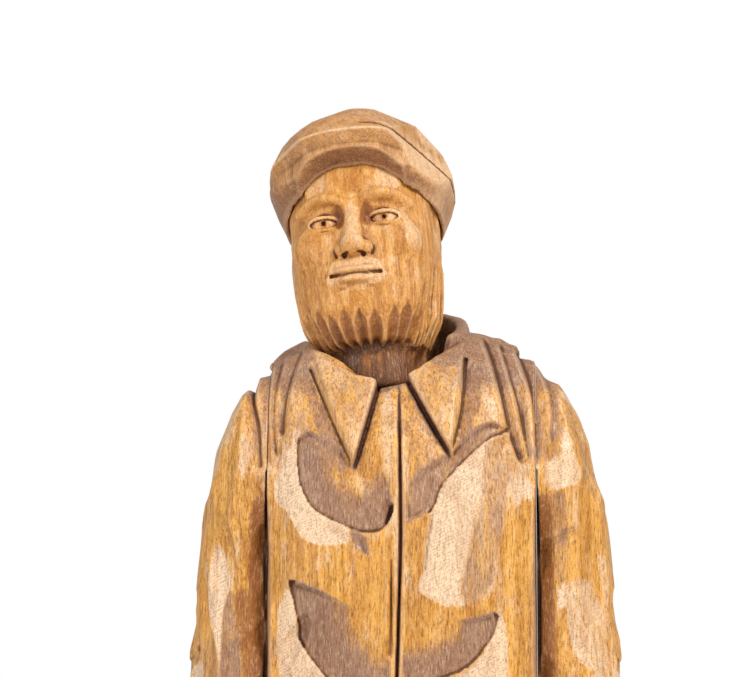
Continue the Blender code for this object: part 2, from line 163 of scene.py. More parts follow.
class Relief:
    """Depths and tones over a plane of u across and v up, which a block's side is then cut to."""

    def __init__(self, u_range, v_range, cell):
        self.cell = cell
        self.low = np.array((u_range[0], v_range[0]), float)
        u = np.arange(u_range[0], u_range[1] + cell, cell)
        v = np.arange(v_range[0], v_range[1] + cell, cell)
        self.u, self.v = np.meshgrid(u, v, indexing="ij")
        self.depth = np.zeros(self.u.shape, np.float32)
        self.cream = np.zeros(self.u.shape, np.float32)
        self.brown = np.zeros(self.u.shape, np.float32)
        self.painted = np.zeros(self.u.shape, np.float32)

    def window(self, points, reach):
        low = np.min(points, axis=0) - reach
        high = np.max(points, axis=0) + reach
        a = np.clip(((low - self.low) / self.cell).astype(int), 0, self.u.shape)
        b = np.clip(((high - self.low) / self.cell).astype(int) + 2, 0, self.u.shape)
        return (slice(a[0], b[0]), slice(a[1], b[1]))

    def paint(self, part, where, tone, strength=1.0):
        amount = where * strength
        keep = 1 - amount
        self.cream[part] = self.cream[part] * keep + tone[0] * amount
        self.brown[part] = self.brown[part] * keep + tone[1] * amount
        self.painted[part] = np.maximum(self.painted[part], amount)

    def ridge(self, points, width, near_tail, far_tail):
        """The window round a path, 1 on it falling to 0 at width, 0 to 1 at its ends, and the side."""
        path = curve(points)
        part = self.window(path, width + 1)
        d, t, side = path_distance(path, self.u[part], self.v[part])
        ends = ease(t, 0, near_tail) * ease(1 - t, 0, far_tail)
        return part, np.clip(1 - d / width, 0, 1), ends, side

    def groove(self, points, depth, width, tone=None, tail=0.12, power=1.4):
        """A knife line: deepest on the path, tapering at its ends."""
        part, shape, ends, _ = self.ridge(points, width, tail, tail)
        shape = shape**power * ends
        self.depth[part] = np.maximum(self.depth[part], depth * shape)
        if tone:
            self.paint(part, (shape > 0.25).astype(np.float32), tone)

    def step(self, points, depth, width, side, tone=None, tail=0.1):
        """A fold's edge: the surface drops at the path on one side and comes back up over width."""
        part, shape, ends, beside = self.ridge(points, width, tail, tail)
        shape = shape * (beside == side) * ends
        self.depth[part] += depth * shape
        if tone:
            self.paint(part, (shape > 0.3).astype(np.float32), tone)

    def leaf(self, top, bottom, width, depth, tone=None, fat=0.6):
        """One gouge stroke: the tool goes in at a point, deepens, and comes out."""
        path = np.array((top, bottom), float)
        part = self.window(path, width + 1)
        d, t, _ = path_distance(path, self.u[part], self.v[part])
        half = width / 2 * np.sin(np.pi * np.clip(t, 0.0, 1.0)) ** fat * ease(t, -0.12, 0.3) + 1e-3
        shape = np.clip(1 - (d / half) ** 2, 0, 1)
        self.depth[part] = np.maximum(self.depth[part], depth * shape * ease(t, -0.08, 0.45))
        if tone:
            self.paint(part, ease(shape, 0.02, 0.2), tone)

    def scoop(self, dark, cream, trough, depth, run):
        """A deep stroke that stops: it sinks through the dark side down to its trough, and comes out
        over the cream side, whose far edge is crisp. The dark side faces down and is painted brown, partly as
        painted shade; the cream side faces up and is painted cream, partly as painted light."""
        dark, cream, trough = curve(dark, closed=True), curve(cream, closed=True), curve(trough)
        part = self.window(np.concatenate((dark, cream)), 2)
        u, v = self.u[part], self.v[part]
        in_dark = outline_distance(dark, u, v)
        in_cream = outline_distance(cream, u, v)
        to_trough = path_distance(trough, u, v)[0]
        rim = np.maximum(ease(-in_dark, 0, 1.5), ease(-to_trough, -2.0, -0.4))
        sink = np.clip(1 - to_trough / run, 0, 1) ** 1.3 * rim
        edge = np.clip(-in_cream, 0, None)
        rise = edge / (edge + to_trough + 0.05)
        shape = np.maximum(np.where(in_cream < 0, rise, 0), np.where(in_dark < 0.25, sink, 0))
        self.depth[part] = np.maximum(self.depth[part], depth * shape)
        fade = ease(1.15 - to_trough / run, 0.1, 0.85)
        self.paint(part, (in_cream < 0).astype(np.float32), CREAM)
        self.paint(part, ease(-in_dark, -0.3, 0.1) * fade, BROWN)

    def patch(self, outline, tone, depth=0.0, ramp=3.0, soft=0.3):
        """A shallow facet with a rim, and its tone."""
        outline = curve(outline, closed=True, steps=4)
        part = self.window(outline, 2)
        d = outline_distance(outline, self.u[part], self.v[part])
        shape = 1 - (1 - np.clip(-d / ramp, 0, 1)) ** 2
        self.depth[part] = np.maximum(self.depth[part], depth * shape)
        self.paint(part, ease(-d, -soft, soft), tone)

    def fibre(self, amount, width, length):
        """Lets the surface wander a little across the grain, as an edge leaves it."""
        spans = (self.u[-1, 0] - self.u[0, 0], self.v[0, -1] - self.v[0, 0])
        counts = (int(spans[0] / width) + 3, int(spans[1] / length) + 3)
        coarse = RANDOM.normal(0, amount, counts).astype(np.float32)
        q, r = (self.u - self.u[0, 0]) / width, (self.v - self.v[0, 0]) / length
        i, j = q.astype(int), r.astype(int)
        s, t = ease(q - i, 0, 1), ease(r - j, 0, 1)
        low = coarse[i, j] * (1 - t) + coarse[i, j + 1] * t
        high = coarse[i + 1, j] * (1 - t) + coarse[i + 1, j + 1] * t
        self.depth += (low * (1 - s) + high * s).astype(np.float32)

    def at(self, field, u, v):
        """A field's value at any place, between its cells."""
        q = np.clip((u - self.low[0]) / self.cell, 0, field.shape[0] - 1.01)
        r = np.clip((v - self.low[1]) / self.cell, 0, field.shape[1] - 1.01)
        i, j = q.astype(np.int32), r.astype(np.int32)
        s, t = (q - i).astype(np.float32), (r - j).astype(np.float32)
        low = field[i, j] * (1 - t) + field[i, j + 1] * t
        high = field[i + 1, j] * (1 - t) + field[i + 1, j + 1] * t
        return low * (1 - s) + high * s


# --- Blocks of wood ---------------------------------------------------------------------------------


class Place:
    """Where a block's own axes stand in the figurine: a rotation and an origin in mm."""

    def __init__(self, matrix=None):
        matrix = matrix or Matrix.Identity(4)
        self.matrix = matrix
        self.turn = np.array(matrix.to_3x3())
        self.origin = np.array(matrix.translation)

    def local(self, points):
        return (points - self.origin) @ self.turn

    def in_metres(self):
        return Matrix.Translation(self.matrix.translation * 0.001) @ self.matrix.to_3x3().to_4x4()


def packed_solid(node, place):
    """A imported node's points in mm about a place, and its triangles."""
    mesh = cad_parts[node].data
    points = np.empty(len(mesh.vertices) * 3, np.float32)
    mesh.vertices.foreach_get("co", points)
    mesh.calc_loop_triangles()
    triangles = np.empty(len(mesh.loop_triangles) * 3, np.int32)
    mesh.loop_triangles.foreach_get("vertices", triangles)
    points = place.local(points.reshape(-1, 3).astype(float) * 1000)
    return points.astype(np.float32), triangles.reshape(-1, 3).astype(np.uint32)


def averaged(field, cells):
    """The mean over a cube of 2 * cells + 1 cells."""
    for axis in range(3):
        pad = [(0, 0)] * 3
        pad[axis] = (cells + 1, cells)
        total = np.cumsum(np.pad(field, pad, mode="edge"), axis=axis, dtype=np.float32)
        size = field.shape[axis]
        width = 2 * cells + 1
        upper = np.take(total, range(width, width + size), axis=axis)
        lower = np.take(total, range(size), axis=axis)
        field = (upper - lower) / width
    return field


def dot(xyz, direction):
    return xyz[0] * direction[0] + xyz[1] * direction[1] + xyz[2] * direction[2]


class Block:
    """Wood as a grid of signed distances, negative inside, and the tone that each cut left."""

    def __init__(self, nodes, cell, place=None, soften=2):
        self.cell = cell
        self.place = place or Place()
        solids = {node: packed_solid(node, self.place) for node in nodes}
        everything = np.concatenate([points for points, _ in solids.values()])
        self.first = np.floor((everything.min(0) - MARGIN) / cell).astype(int)
        self.shape = np.ceil((everything.max(0) + MARGIN) / cell).astype(int) - self.first + 1
        self.fields = {node: self.level_set(*solid, soften) for node, solid in solids.items()}
        self.solids = solids
        self.distance = None
        self.cream = np.zeros(self.shape, np.float32)
        self.brown = np.zeros(self.shape, np.float32)

    def level_set(self, points, triangles, soften):
        grid = vdb.FloatGrid.createLevelSetFromPolygons(
            points, triangles=triangles, transform=self.transform(), halfWidth=BAND / self.cell
        )
        dense = np.empty(self.shape, np.float32)
        grid.copyToArray(dense, ijk=tuple(int(i) for i in self.first))
        for _ in range(2 if soften else 0):
            dense = averaged(dense, soften)
        return dense

    def transform(self):
        return vdb.createLinearTransform(voxelSize=self.cell)

    def axes(self, part=None):
        """Coordinates of the cells of a window, ready to broadcast."""
        part = part or tuple(slice(0, n) for n in self.shape)
        out = []
        for axis, span in enumerate(part):
            values = (np.arange(span.start, span.stop) + self.first[axis]) * self.cell
            shape = [1, 1, 1]
            shape[axis] = -1
            out.append(values.astype(np.float32).reshape(shape))
        return out

    def window(self, low, high):
        a = np.clip(np.floor(np.array(low) / self.cell).astype(int) - self.first, 0, self.shape)
        b = np.clip(np.ceil(np.array(high) / self.cell).astype(int) - self.first + 1, 0, self.shape)
        return tuple(slice(int(i), int(j)) for i, j in zip(a, b))

    def work(self, part, tool, add=False, blend=0.0, tone=None):
        """Adds a tool's shape to the wood, or cuts it away, over a window."""
        if 0 in tool.shape:
            return
        d = self.distance[part]
        if add:
            changed = tool < d
            new = smooth_min(d, tool, blend) if blend else np.minimum(d, tool)
        else:
            changed = -tool > d
            new = -smooth_min(-d, tool, blend) if blend else np.maximum(d, -tool)
        self.distance[part] = new
        if tone is not None:
            self.cream[part][changed] = tone[0]
            self.brown[part][changed] = tone[1]

    def tube(self, path, radius, **how):
        """A round stroke along a path; radius is one number or one for each point."""
        path = np.array(path, float)
        radii = np.broadcast_to(radius, len(path)).astype(float)
        reach = radii.max() + how.get("blend", 0) + 1.0
        part = self.window(path.min(0) - reach, path.max(0) + reach)
        axes = self.axes(part)
        best = np.float32(1e3)
        for a, b, ra, rb in zip(path, path[1:], radii, radii[1:]):
            e = b - a
            t = np.clip(dot([c - p for c, p in zip(axes, a)], e) / (e @ e), 0, 1)
            away = [c - p - t * q for c, p, q in zip(axes, a, e)]
            best = np.minimum(best, np.sqrt(dot(away, away)) - (ra + (rb - ra) * t))
        self.work(part, best, **how)

    def egg(self, centre, half, **how):
        """An ellipsoid along the block's axes."""
        centre, half = np.array(centre, float), np.array(half, float)
        reach = half + how.get("blend", 0) + 0.8
        part = self.window(centre - reach, centre + reach)
        scaled = [(c - p) / size for c, p, size in zip(self.axes(part), centre, half)]
        steep = [q / size for q, size in zip(scaled, half)]
        near, far = np.sqrt(dot(scaled, scaled)), np.sqrt(dot(steep, steep)) + 1e-6
        self.work(part, near * (near - 1) / far, **how)

    def facet(self, place, outward, along, length, width, depth, tone=None):
        """One stroke of a nearly flat gouge: its floor climbs out of the wood past its rim, so that
        it stops of itself. A stroke that would dig deeper than a gouge can is left out."""
        outward = unit(outward)
        across = unit(np.cross(outward, along))
        down = np.cross(across, outward)
        place = np.array(place, float)
        reach = np.abs(across) * width * 0.8 + np.abs(down) * length * 0.8 + np.abs(outward) * 5
        part = self.window(place - reach, place + reach)
        offset = [c - p for c, p in zip(self.axes(part), place)]
        u, v = dot(offset, across) * (2 / width), dot(offset, down) * (2 / length)
        height = dot(offset, outward)
        square = u * u + v * v
        rim = np.clip(square - 1, 0, None)
        floor = depth * (np.minimum(square, 1) ** 2 - 1) + (2 * depth + 0.4) * rim + 1.2 * rim**2
        tool = (floor - height) / (1 + 1.2 * rim)
        self.cut_shallow(part, tool, depth + DEEPEST, tone, square < 1.2)

    def shave(self, place, outward, depth, reach, tone=None):
        """One flat knife cut off a rounded place."""
        place = np.array(place, float)
        part = self.window(place - reach, place + reach)
        height = dot([c - p for c, p in zip(self.axes(part), place)], unit(outward))
        self.cut_shallow(part, -height - depth, depth + DEEPEST, tone, True)

    def cut_shallow(self, part, tool, deepest, tone, where):
        """Cuts a tool's shape away, unless it would reach deeper than deepest anywhere."""
        d = self.distance[part]
        cut = (-tool > d) & (d > -BAND + 0.5)
        if d.size == 0 or ((tool < 0) & (d < -deepest)).any():
            return
        self.distance[part] = np.where(cut, -tool, d)
        if tone is not None:
            marked = cut & where
            self.cream[part][marked] = tone[0]
            self.brown[part][marked] = tone[1]

    def surface_places(self, node, count, rule):
        """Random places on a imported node's surface with their outward directions."""
        points, triangles = self.solids[node]
        a, b, c = (points[triangles[:, i]].astype(float) for i in range(3))
        cross = np.cross(b - a, c - a)
        area = np.linalg.norm(cross, axis=1)
        chosen = RANDOM.choice(len(area), size=count * 4, p=area / area.sum())
        s, t = RANDOM.random((2, count * 4, 1))
        flip = s + t > 1
        s, t = np.where(flip, 1 - s, s), np.where(flip, 1 - t, t)
        places = a[chosen] + (b - a)[chosen] * s + (c - a)[chosen] * t
        normals = cross[chosen] / area[chosen][:, None]
        keep = rule(places, normals)
        return places[keep][:count], normals[keep][:count]

    def outward(self, place, reach=2.0):
        """Which way the surface faces near a place."""
        steps = np.concatenate((np.eye(3), -np.eye(3))) * reach
        values = self.at(self.distance, np.array(place, float) + steps)
        slope = values[:3] - values[3:]
        return slope / (np.linalg.norm(slope) + 1e-9)

    def whittle(self, node, count, length, width, depth, rule, tones, spread=0.35):
        """Covers a node in long shallow facets that run roughly with the grain."""
        places, normals = self.surface_places(node, count, rule)
        for place, normal in zip(places, normals):
            outward = self.outward(place)
            if outward @ normal < 0.75:
                continue
            along = np.array((RANDOM.normal(0, spread), RANDOM.normal(0, spread), 1.0))
            if abs(outward[2]) > 0.85:
                along = np.array((RANDOM.normal(), RANDOM.normal(), 0.2))
            lean = RANDOM.normal(0, 0.12, 3)
            tone = tones[RANDOM.integers(len(tones))]
            self.facet(
                place, outward + lean, along, RANDOM.uniform(*length), RANDOM.uniform(*width),
                RANDOM.uniform(*depth), tone,
            )

    def press(self, relief, weight, side_u=0):
        """Cuts a flat relief, drawn over X (or Y) and Z, where weight says, a factor along the
        third axis."""
        x, y, z = self.axes()
        across = (x if side_u == 0 else y).reshape(-1, 1)
        up = z.reshape(1, -1)
        shape = (len(across), 1, up.size) if side_u == 0 else (1, len(across), up.size)
        self.distance += relief.at(relief.depth, across, up).reshape(shape) * weight
        painted = relief.at(relief.painted, across, up).reshape(shape) * (weight > 0.5)
        for field, drawn in ((self.cream, relief.cream), (self.brown, relief.brown)):
            field += (relief.at(drawn, across, up).reshape(shape) - field) * painted

    def stain(self, cream, brown, amount):
        """Brings the wood's tone towards another by an amount."""
        self.brown += (brown - self.brown) * amount
        self.cream += (cream - self.cream) * amount

    def blacken(self, where, brown):
        self.brown[where] = brown
        self.cream[where] = 0

    def at(self, field, points):
        """A field's values at any points, between its cells."""
        q = points / self.cell - self.first
        i = np.clip(np.floor(q).astype(int), 0, np.array(self.shape) - 2)
        t = (q - i).astype(np.float32)
        out = 0.0
        for corner in itertools.product((0, 1), repeat=3):
            share = np.where(corner, t, 1 - t).prod(axis=1)
            out = out + share * field[tuple((i + corner).T)]
        return out

    def finish(self, name, most, keep=None):
        """A Blender object of the wood, or of the part of it that keep leaves."""
        distance = self.distance if keep is None else np.maximum(self.distance, keep)
        grid = vdb.FloatGrid(BAND)
        grid.copyFromArray(np.ascontiguousarray(distance), ijk=tuple(int(i) for i in self.first))
        grid.transform = self.transform()
        points, triangles, quads = grid.convertToPolygons(isovalue=0.0, adaptivity=0.0)
        mesh = bpy.data.meshes.new(name)
        faces = [tuple(f) for f in triangles.tolist()] + [tuple(f[::-1]) for f in quads.tolist()]
        mesh.from_pydata((points * 0.001).tolist(), [], faces)
        obj = bpy.data.objects.new(name, mesh)
        bpy.context.scene.collection.objects.link(obj)
        whole = 2 * len(quads) + len(triangles)
        if whole > most:
            thin = obj.modifiers.new("Decimate", "DECIMATE")
            thin.ratio = most / whole
            graph = bpy.context.evaluated_depsgraph_get()
            light = bpy.data.meshes.new_from_object(obj.evaluated_get(graph))
            obj.modifiers.clear()
            obj.data = light
            bpy.data.meshes.remove(mesh)
            light.name = name
        self.colour(obj, distance)
        obj.matrix_world = self.place.in_metres()
        return obj

    def colour(self, obj, distance):
        """Stores what each point shows: cream, brown, how deep in a crease and how sheltered."""
        mesh = obj.data
        mesh.shade_smooth()
        points = np.empty(len(mesh.vertices) * 3)
        mesh.vertices.foreach_get("co", points)
        points = points.reshape(-1, 3) * 1000
        crease = -self.at(averaged(distance, max(1, round(0.9 / self.cell))), points)
        hollow = -self.at(averaged(distance, max(1, round(3.2 / self.cell))), points)
        values = np.stack(
            (
                self.at(self.cream, points),
                self.at(self.brown, points),
                np.clip(0.5 + crease * 1.6, 0, 1),
                np.clip(0.5 + hollow * 0.45, 0, 1),
            ),
            axis=1,
        )
        layer = mesh.attributes.new("cut", "FLOAT_COLOR", "POINT")
        layer.data.foreach_set("color", values.astype(np.float32).ravel())


# --- The figure: jacket, trousers, boots and sleeves -------------------------------------------------

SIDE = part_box("body")[1].x * 1000
ARM_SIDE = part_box("arm_right")[0].x * 1000
GLUE_PLANE = (SIDE + ARM_SIDE) / 2
KERF_FAR = SIDE + 1.0
KERF_WEB = 9.0  # half of what the saw left between a sleeve and the body
SEAM_IN = 3.0  # how far from the joint the surfaces that bridge it are taken
SEAM_OUT = 6.0
ARMPIT = 214.0
POCKET_TOP = 136.0
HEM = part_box("plinth")[1].z * 1000 + 86.2
PLINTH_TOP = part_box("plinth")[1].z * 1000

# Strokes that stop dead on the jacket's front: (across, height) points in mm. Each sinks through its
# dark side to a trough and climbs out over its cream side.
TROUGHS = (
    ((-25.9, 221), (-25.6, 212.5), (-23.8, 207.4), (-20.7, 203.4), (-12.8, 199.4), (-8, 198), (-4.3, 199),
     (-1.9, 203.5)),
    ((-27.4, 186.2), (-26.6, 181), (-25.4, 175), (-25.2, 171.6), (-21, 165.6), (-16, 160), (-9, 156),
     (-3, 155)),
    ((26.6, 223.6), (21, 220.6), (11.2, 210.6), (8.7, 204.6), (6.7, 196), (6.1, 189)),
    ((24.4, 178.4), (23.6, 174), (21, 169.6), (17.4, 165.4), (12, 162.6), (1.6, 160.2)),
)
FRONT_SCOOPS = (
    {
        "depth": 1.3, "run": 17, "trough": TROUGHS[0],
        "dark": TROUGHS[0] + ((-3.4, 212), (-10, 216), (-18, 221), (-23, 224)),
        "cream": ((-25.6, 224.5), (-29.6, 219), (-31.8, 211), (-31.2, 206), (-28.7, 203.6), (-25.6, 198.2),
                  (-24.4, 196.4), (-18.8, 194.7), (-12, 195.6), (-11.8, 199.4)) + TROUGHS[0][3:0:-1],
    },
    {
        "depth": 1.35, "run": 21, "trough": TROUGHS[1],
        "dark": TROUGHS[1] + ((-2.2, 162), (-2, 175), (-6, 178.6), (-13, 180.4), (-20, 184)),
        "cream": ((-28.2, 184.4), (-30.6, 180), (-31.2, 171), (-30.4, 163), (-25, 156), (-16, 151.6),
                  (-6, 150.6), (-3, 154.6)) + TROUGHS[1][6:0:-1],
    },
    {
        "depth": 1.35, "run": 14, "trough": TROUGHS[2],
        "dark": TROUGHS[2][:4] + ((6.4, 202.2), (3.6, 200.8), (1.3, 200.6), (1.3, 208), (5, 213),
                                  (11.5, 218), (19, 224.6), (23.6, 226)),
        "cream": ((28.6, 222.4), (28.8, 217), (27.8, 208.4), (26.2, 200.8), (24.8, 192.8), (23.2, 184),
                  (20.6, 181.2), (14.7, 179.4), (9.7, 180.2), (4.8, 183.8)) + TROUGHS[2][:0:-1],
    },
    {
        "depth": 1.2, "run": 15, "trough": TROUGHS[3],
        "dark": ((1.6, 176), (8, 177.4), (16, 176.6), (23.4, 178)) + TROUGHS[3][1:],
        "cream": ((24.9, 178.6), (26.8, 171), (27.2, 161), (25, 154), (14, 151.4), (3, 152.4), (1.8, 157),
                  (9, 160.6), (16.4, 163.6), (21.2, 169)),
    },
)
WING_LEFT = (
    (-24.4, 246), (-23.2, 238.5), (-17.2, 225.4), (-11.6, 214.2), (-8.6, 223.5), (-5.2, 236.2),
    (-11.5, 238), (-18.5, 242.5),
)
WING_RIGHT = (
    (16.6, 248), (15.9, 238), (15.3, 229), (12.8, 217.2), (6.6, 227), (0.9, 237.6), (5, 240), (11, 246),
)
WING_EDGES = (
    (((-23.6, 240.5), (-17.3, 226), (-11.6, 213.6)), 1.5, 0.85, TAN),
    (((-5.0, 236.8), (-8.4, 224), (-11.4, 213.4)), 2.5, 1.05, DARK),
    (((0.5, 238.6), (6.6, 227.2), (12.9, 216.4)), 2.6, 1.1, DARK),
    (((16.4, 243), (15.5, 229.6), (12.9, 216.4)), 1.6, 0.8, TAN),
)
PLACKET = ((-0.5, 237.5), (0.0, 220), (0.3, 197), (-0.4, 170), (-1.2, 140), (-1.4, HEM - 1))

# Tones that lie on the chest round the strokes.
CHEST_TONES = (
    (((-31.5, 236), (-26.5, 240), (-23.8, 228), (-20, 216), (-26, 218), (-31.5, 222)), (0.3, 0.35)),
    # Brown beside the left wing: partly the cut chest's own tone, partly painted shadow of the wing.
    (((-27.4, 243), (-22.6, 243), (-21.6, 236), (-14.2, 219), (-12.4, 213.6), (-16.5, 214), (-23,
        228)), (0.0, 0.9)),
    (((18.6, 241), (26, 241), (27.6, 232), (24.6, 227.4), (19.6, 228)), (0.4, 0.3)),
    # Brown beside the right wing: partly the cut chest's own tone, partly painted shadow of the wing.
    (((16, 243), (19.6, 241), (20.2, 229), (18.6, 217), (13.2, 214.6), (15.6, 228)), (0.0, 0.85)),
    (((18.4, 226.4), (27, 226), (28.6, 220.6), (22, 218.4)), PALE),
    (((1.2, 235.6), (6, 227), (11.6, 216.4), (9, 211.6), (4, 209), (1.4, 212)), TAN),
    (((-4.6, 233), (-1.6, 233.4), (-1.0, 215), (-0.6, 196), (-3.2, 196), (-4.4, 212)), PALE),
    (((28.4, 215.4), (33, 215), (36, 214), (36, 207), (33, 206), (28.4, 204.6)), CREAM),
)

# Flat cuts down the front of the sleeves.
SLEEVE_CUTS = (
    (((-40.1, 232.3), (-36.3, 236.5), (-34.2, 232), (-34.2, 221), (-37, 223.5), (-38.6, 227.3)),
     (0.45, 0.3)),
    (((-46.9, 196), (-44.6, 192.8), (-42.1, 183.2), (-40.6, 170.6), (-40, 158), (-44, 158),
      (-47.1, 170.6), (-49.4, 180.7), (-48.9, 190.8)), CREAM),
    (((-45, 180), (-42.3, 184), (-40.2, 171), (-39.8, 157), (-46.3, 157), (-45.6, 168)), (0.15, 0.75)),
    # Painted shade: this strip's negative cream turns it the amber dark of the deep shadow by the body.
    (((-42.6, 181), (-39, 184), (-37.5, 172), (-38, 156), (-40, 156), (-40.8, 170)), (-0.7, 0.3)),
    (((34.9, 231), (38.7, 231.6), (41.2, 226), (45.3, 212.2), (41, 209.4), (36.9, 207.9),
      (34.4, 213.5), (33.9, 223)), CREAM),
    (((40.6, 231.6), (44, 229), (49, 214), (50, 206), (46.6, 209), (43, 222)), (0.25, 0.45)),
    (((40.7, 183.2), (44, 187), (48.3, 184.5), (52.1, 170.6), (50.8, 163), (43.2, 168)), (0.6, 0.2)),
    (((36.9, 206), (41, 207.6), (42, 196), (40, 184), (38.2, 190)), (0.1, 0.5)),
)

# Folds over the shoulders: valleys seen from the front, as (across, height), and how deep they are.
FOLD_VALLEYS = (
    (((-37.6, 240), (-38, 232.8), (-36.2, 225.3), (-35, 212.7)), 1.5),
    (((-34, 243), (-34.2, 232.8), (-33.7, 224.8), (-33.2, 213.5)), 1.2),
    (((-30.6, 244), (-32.2, 234), (-32.2, 224), (-31.4, 216)), 0.9),
    (((-25.4, 247), (-28.4, 237), (-29.6, 229), (-29.8, 221)), 0.8),
    (((20.4, 250), (23.6, 240.5), (25.9, 231.1), (27.6, 223), (30.6, 213.9)), 1.4),
    (((24.4, 249), (27.2, 239.1), (29.4, 231.1), (31.4, 220.5), (32.2, 214)), 1.1),
    (((28.6, 247), (32.2, 237.4), (33.5, 230), (33.9, 222), (33.8, 213.4)), 1.5),
    (((33.6, 243.6), (37, 236.4), (38.4, 228), (37.6, 219)), 0.7),
)
LEG_OUT = 15.5  # how far a leg's middle stands from the figure's
LACES_OUT = 13.4  # the boots turn out, so their laces stand closer together
SOLE = 3.6  # height of the line above each sole
NECK_X = -4.3  # the neck's middle, where the head leans out of the collar
NECK_Y = 1.5
NECK_HOLE = 18.8  # radius of the collar's opening
FOLD_WIDTH = 3.6  # how far a fold takes to rise again
FOLD_DROP = 1.1  # and to drop


def front_relief(x_range, z_range):
    relief = Relief(x_range, z_range, RELIEF_CELL)
    for outline, tone in CHEST_TONES:
        relief.patch(outline, tone, soft=0.8)
    for outline, tone in SLEEVE_CUTS:
        relief.patch(outline, tone, 0.5, 3, soft=0.3)
    for scoop in FRONT_SCOOPS:
        relief.scoop(**scoop)
    # What the leaf-shaped cut's far half and the strokes' ends show.
    far_half = (
        (21.4, 221), (28, 221), (27.4, 208), (24.4, 190), (21, 181.6), (15, 181), (17.4, 196), (20, 209),
    )
    relief.patch(far_half, (0.35, 0.62), soft=1.2)
    relief.patch(((-12.3, 200.6), (-9.4, 199), (-7.4, 193), (-9, 192.6), (-11.8, 196)), BROWN, 0.7, 2)
    relief.patch(((29.6, 204), (33, 206), (37, 204), (37, 158), (28.2, 158), (27.4, 184)), GOLD, soft=0.8)
    for side in (-1, 1):
        relief.groove([(side * x, z) for x, z in ((15, 139), (24, 132), (32.8, 118))], 1.1, 1.3, TAN)
        relief.step([(side * x, z) for x, z in ((14, 141), (24, 134.4), (33.4, 121))], 0.5, 5, -side)
    # Below the elbows: shallow strokes down to the hem, from the same hand as those above.
    relief.patch(((-31, 148), (-20, 150), (-6, 148), (-4, 141), (-14, 136), (-29, 139)), GOLD, 0.6, 4)
    relief.patch(((4, 150), (18, 150), (30, 149), (30, 140), (17, 137), (3, 141)), PALE, 0.6, 4)
    relief.patch(((-30, 128), (-19, 131), (-5, 126), (-4, 113), (-17, 109), (-31, 113)), TAN, 0.7, 4)
    relief.patch(((2, 128), (14, 130), (29, 121), (31, 111), (17, 108), (2, 112)), GOLD, 0.7, 4)
    raise_wings(relief)
    relief.groove([(x - 4.6, z) for x, z in PLACKET[1:5]], 0.55, 1.6, None, tail=0.15)
    relief.groove([(x + 2.4, z) for x, z in PLACKET[1:5]], 0.3, 1.2, None, tail=0.15)
    relief.groove(PLACKET, 1.9, 0.8, DARK, tail=0.02)
    relief.groove(((-4.0, 232.6), (-0.9, 232.9)), 0.8, 0.55, BROWN, tail=0.05)
    relief.fibre(0.055, 1.3, 9)
    relief.fibre(0.05, 4.5, 14)
    return relief


def raise_wings(relief):
    """The collar's wings stand proud, because the chest is cut down round them."""
    whole = (slice(None), slice(None))
    for wing in (WING_LEFT, WING_RIGHT):
        d = outline_distance(curve(wing, closed=True, steps=3), relief.u, relief.v)
        cut = 1.35 * np.clip(1 - np.clip(d - 0.2, 0, None) / 6.5, 0, 1) * ease(d, -0.1, 0.35)
        cut *= ease(242.5 - relief.v, 0, 6)
        relief.depth *= ease(d, -0.2, 0.2).astype(np.float32)
        relief.depth += cut.astype(np.float32)
        inside = ease(-d, -0.2, 0.2)
        relief.paint(whole, inside, (0.3, 0.45))
        tip = inside * ease(229 - relief.v, -5, 6)
        relief.paint(whole, tip, (0.35, 0.1))
    # Painted shade: the collar's standing part on the right is painted brown.
    roll = ((6, 243.5), (11, 250), (17.5, 252), (17, 242), (13, 240.4), (9, 240.6))
    relief.patch(roll, BROWN, soft=0.8)
    for path, depth, width, tone in WING_EDGES:
        relief.groove(path, depth, width, tone, tail=0.03, power=1.0)


def folds_relief(x_range, z_range):
    """The folds that run over both shoulders into the armpits, the same in front and behind: each
    drops sharply on its neck side and rises again slowly towards the sleeve."""
    relief = Relief(x_range, z_range, RELIEF_CELL)
    # Painted shade in the folds: brown round the valleys, strongest on the long slopes that rise towards the
    # sleeve.
    for valley, depth in FOLD_VALLEYS:
        path = curve(valley)
        part = relief.window(path, 4)
        d = path_distance(path, relief.u[part], relief.v[part])[0]
        relief.paint(part, ease(3.4 - d, 0, 1.2) * 0.8, (0.2, 0.45))
    for valley, depth in FOLD_VALLEYS:
        part, shape, ends, side = relief.ridge(valley, FOLD_WIDTH, 0.1, 0.12)
        away = side == math.copysign(1, valley[0][0])
        steep = np.clip(1 - (1 - shape) * FOLD_WIDTH / FOLD_DROP, 0, 1)
        shape = np.where(away, shape, steep) * ends
        relief.depth[part] = np.maximum(relief.depth[part], 1.2 * depth * shape)
        relief.paint(part, ease(shape, 0.25, 0.8) * np.where(away, 0.95, 0.3), (0.0, 0.95))
    return relief


def back_relief(x_range, z_range):
    relief = Relief(x_range, z_range, RELIEF_CELL)
    relief.groove(((0.5, 236), (0.2, 200), (-0.4, 160), (0, HEM)), 0.9, 1.0, TAN, tail=0.05)
    relief.groove(((0, 132), (0.4, 118), (0.2, HEM - 4)), 2.6, 1.6, DARK, tail=0.03)
    relief.step(((-33, 214), (-16, 219), (0, 220.6), (16, 219), (33, 214)), 1.0, 7, -1, tail=0.04)
    strokes = (
        ((-27, 207), (-13, 209), (-6, 200), (-11, 183), (-22, 179), (-30, 190)),
        ((25, 209), (31, 196), (26, 181), (12, 178), (6, 192), (11, 207)),
        ((-28, 172), (-14, 176), (-4, 167), (-8, 148), (-20, 142), (-31, 153)),
        ((26, 173), (31, 160), (25, 145), (10, 143), (4, 157), (10, 172)),
        ((-30, 135), (-16, 138), (-4, 130), (-5, 112), (-18, 108), (-32, 114)),
        ((30, 137), (33, 120), (26, 108), (8, 109), (3, 124), (11, 135)),
    )
    for number, stroke in enumerate(strokes):
        relief.patch(stroke, (CREAM, TAN, GOLD, PALE, BROWN, GOLD)[number], 0.9, 6)
    relief.fibre(0.055, 1.3, 9)
    relief.fibre(0.05, 4.5, 14)
    return relief


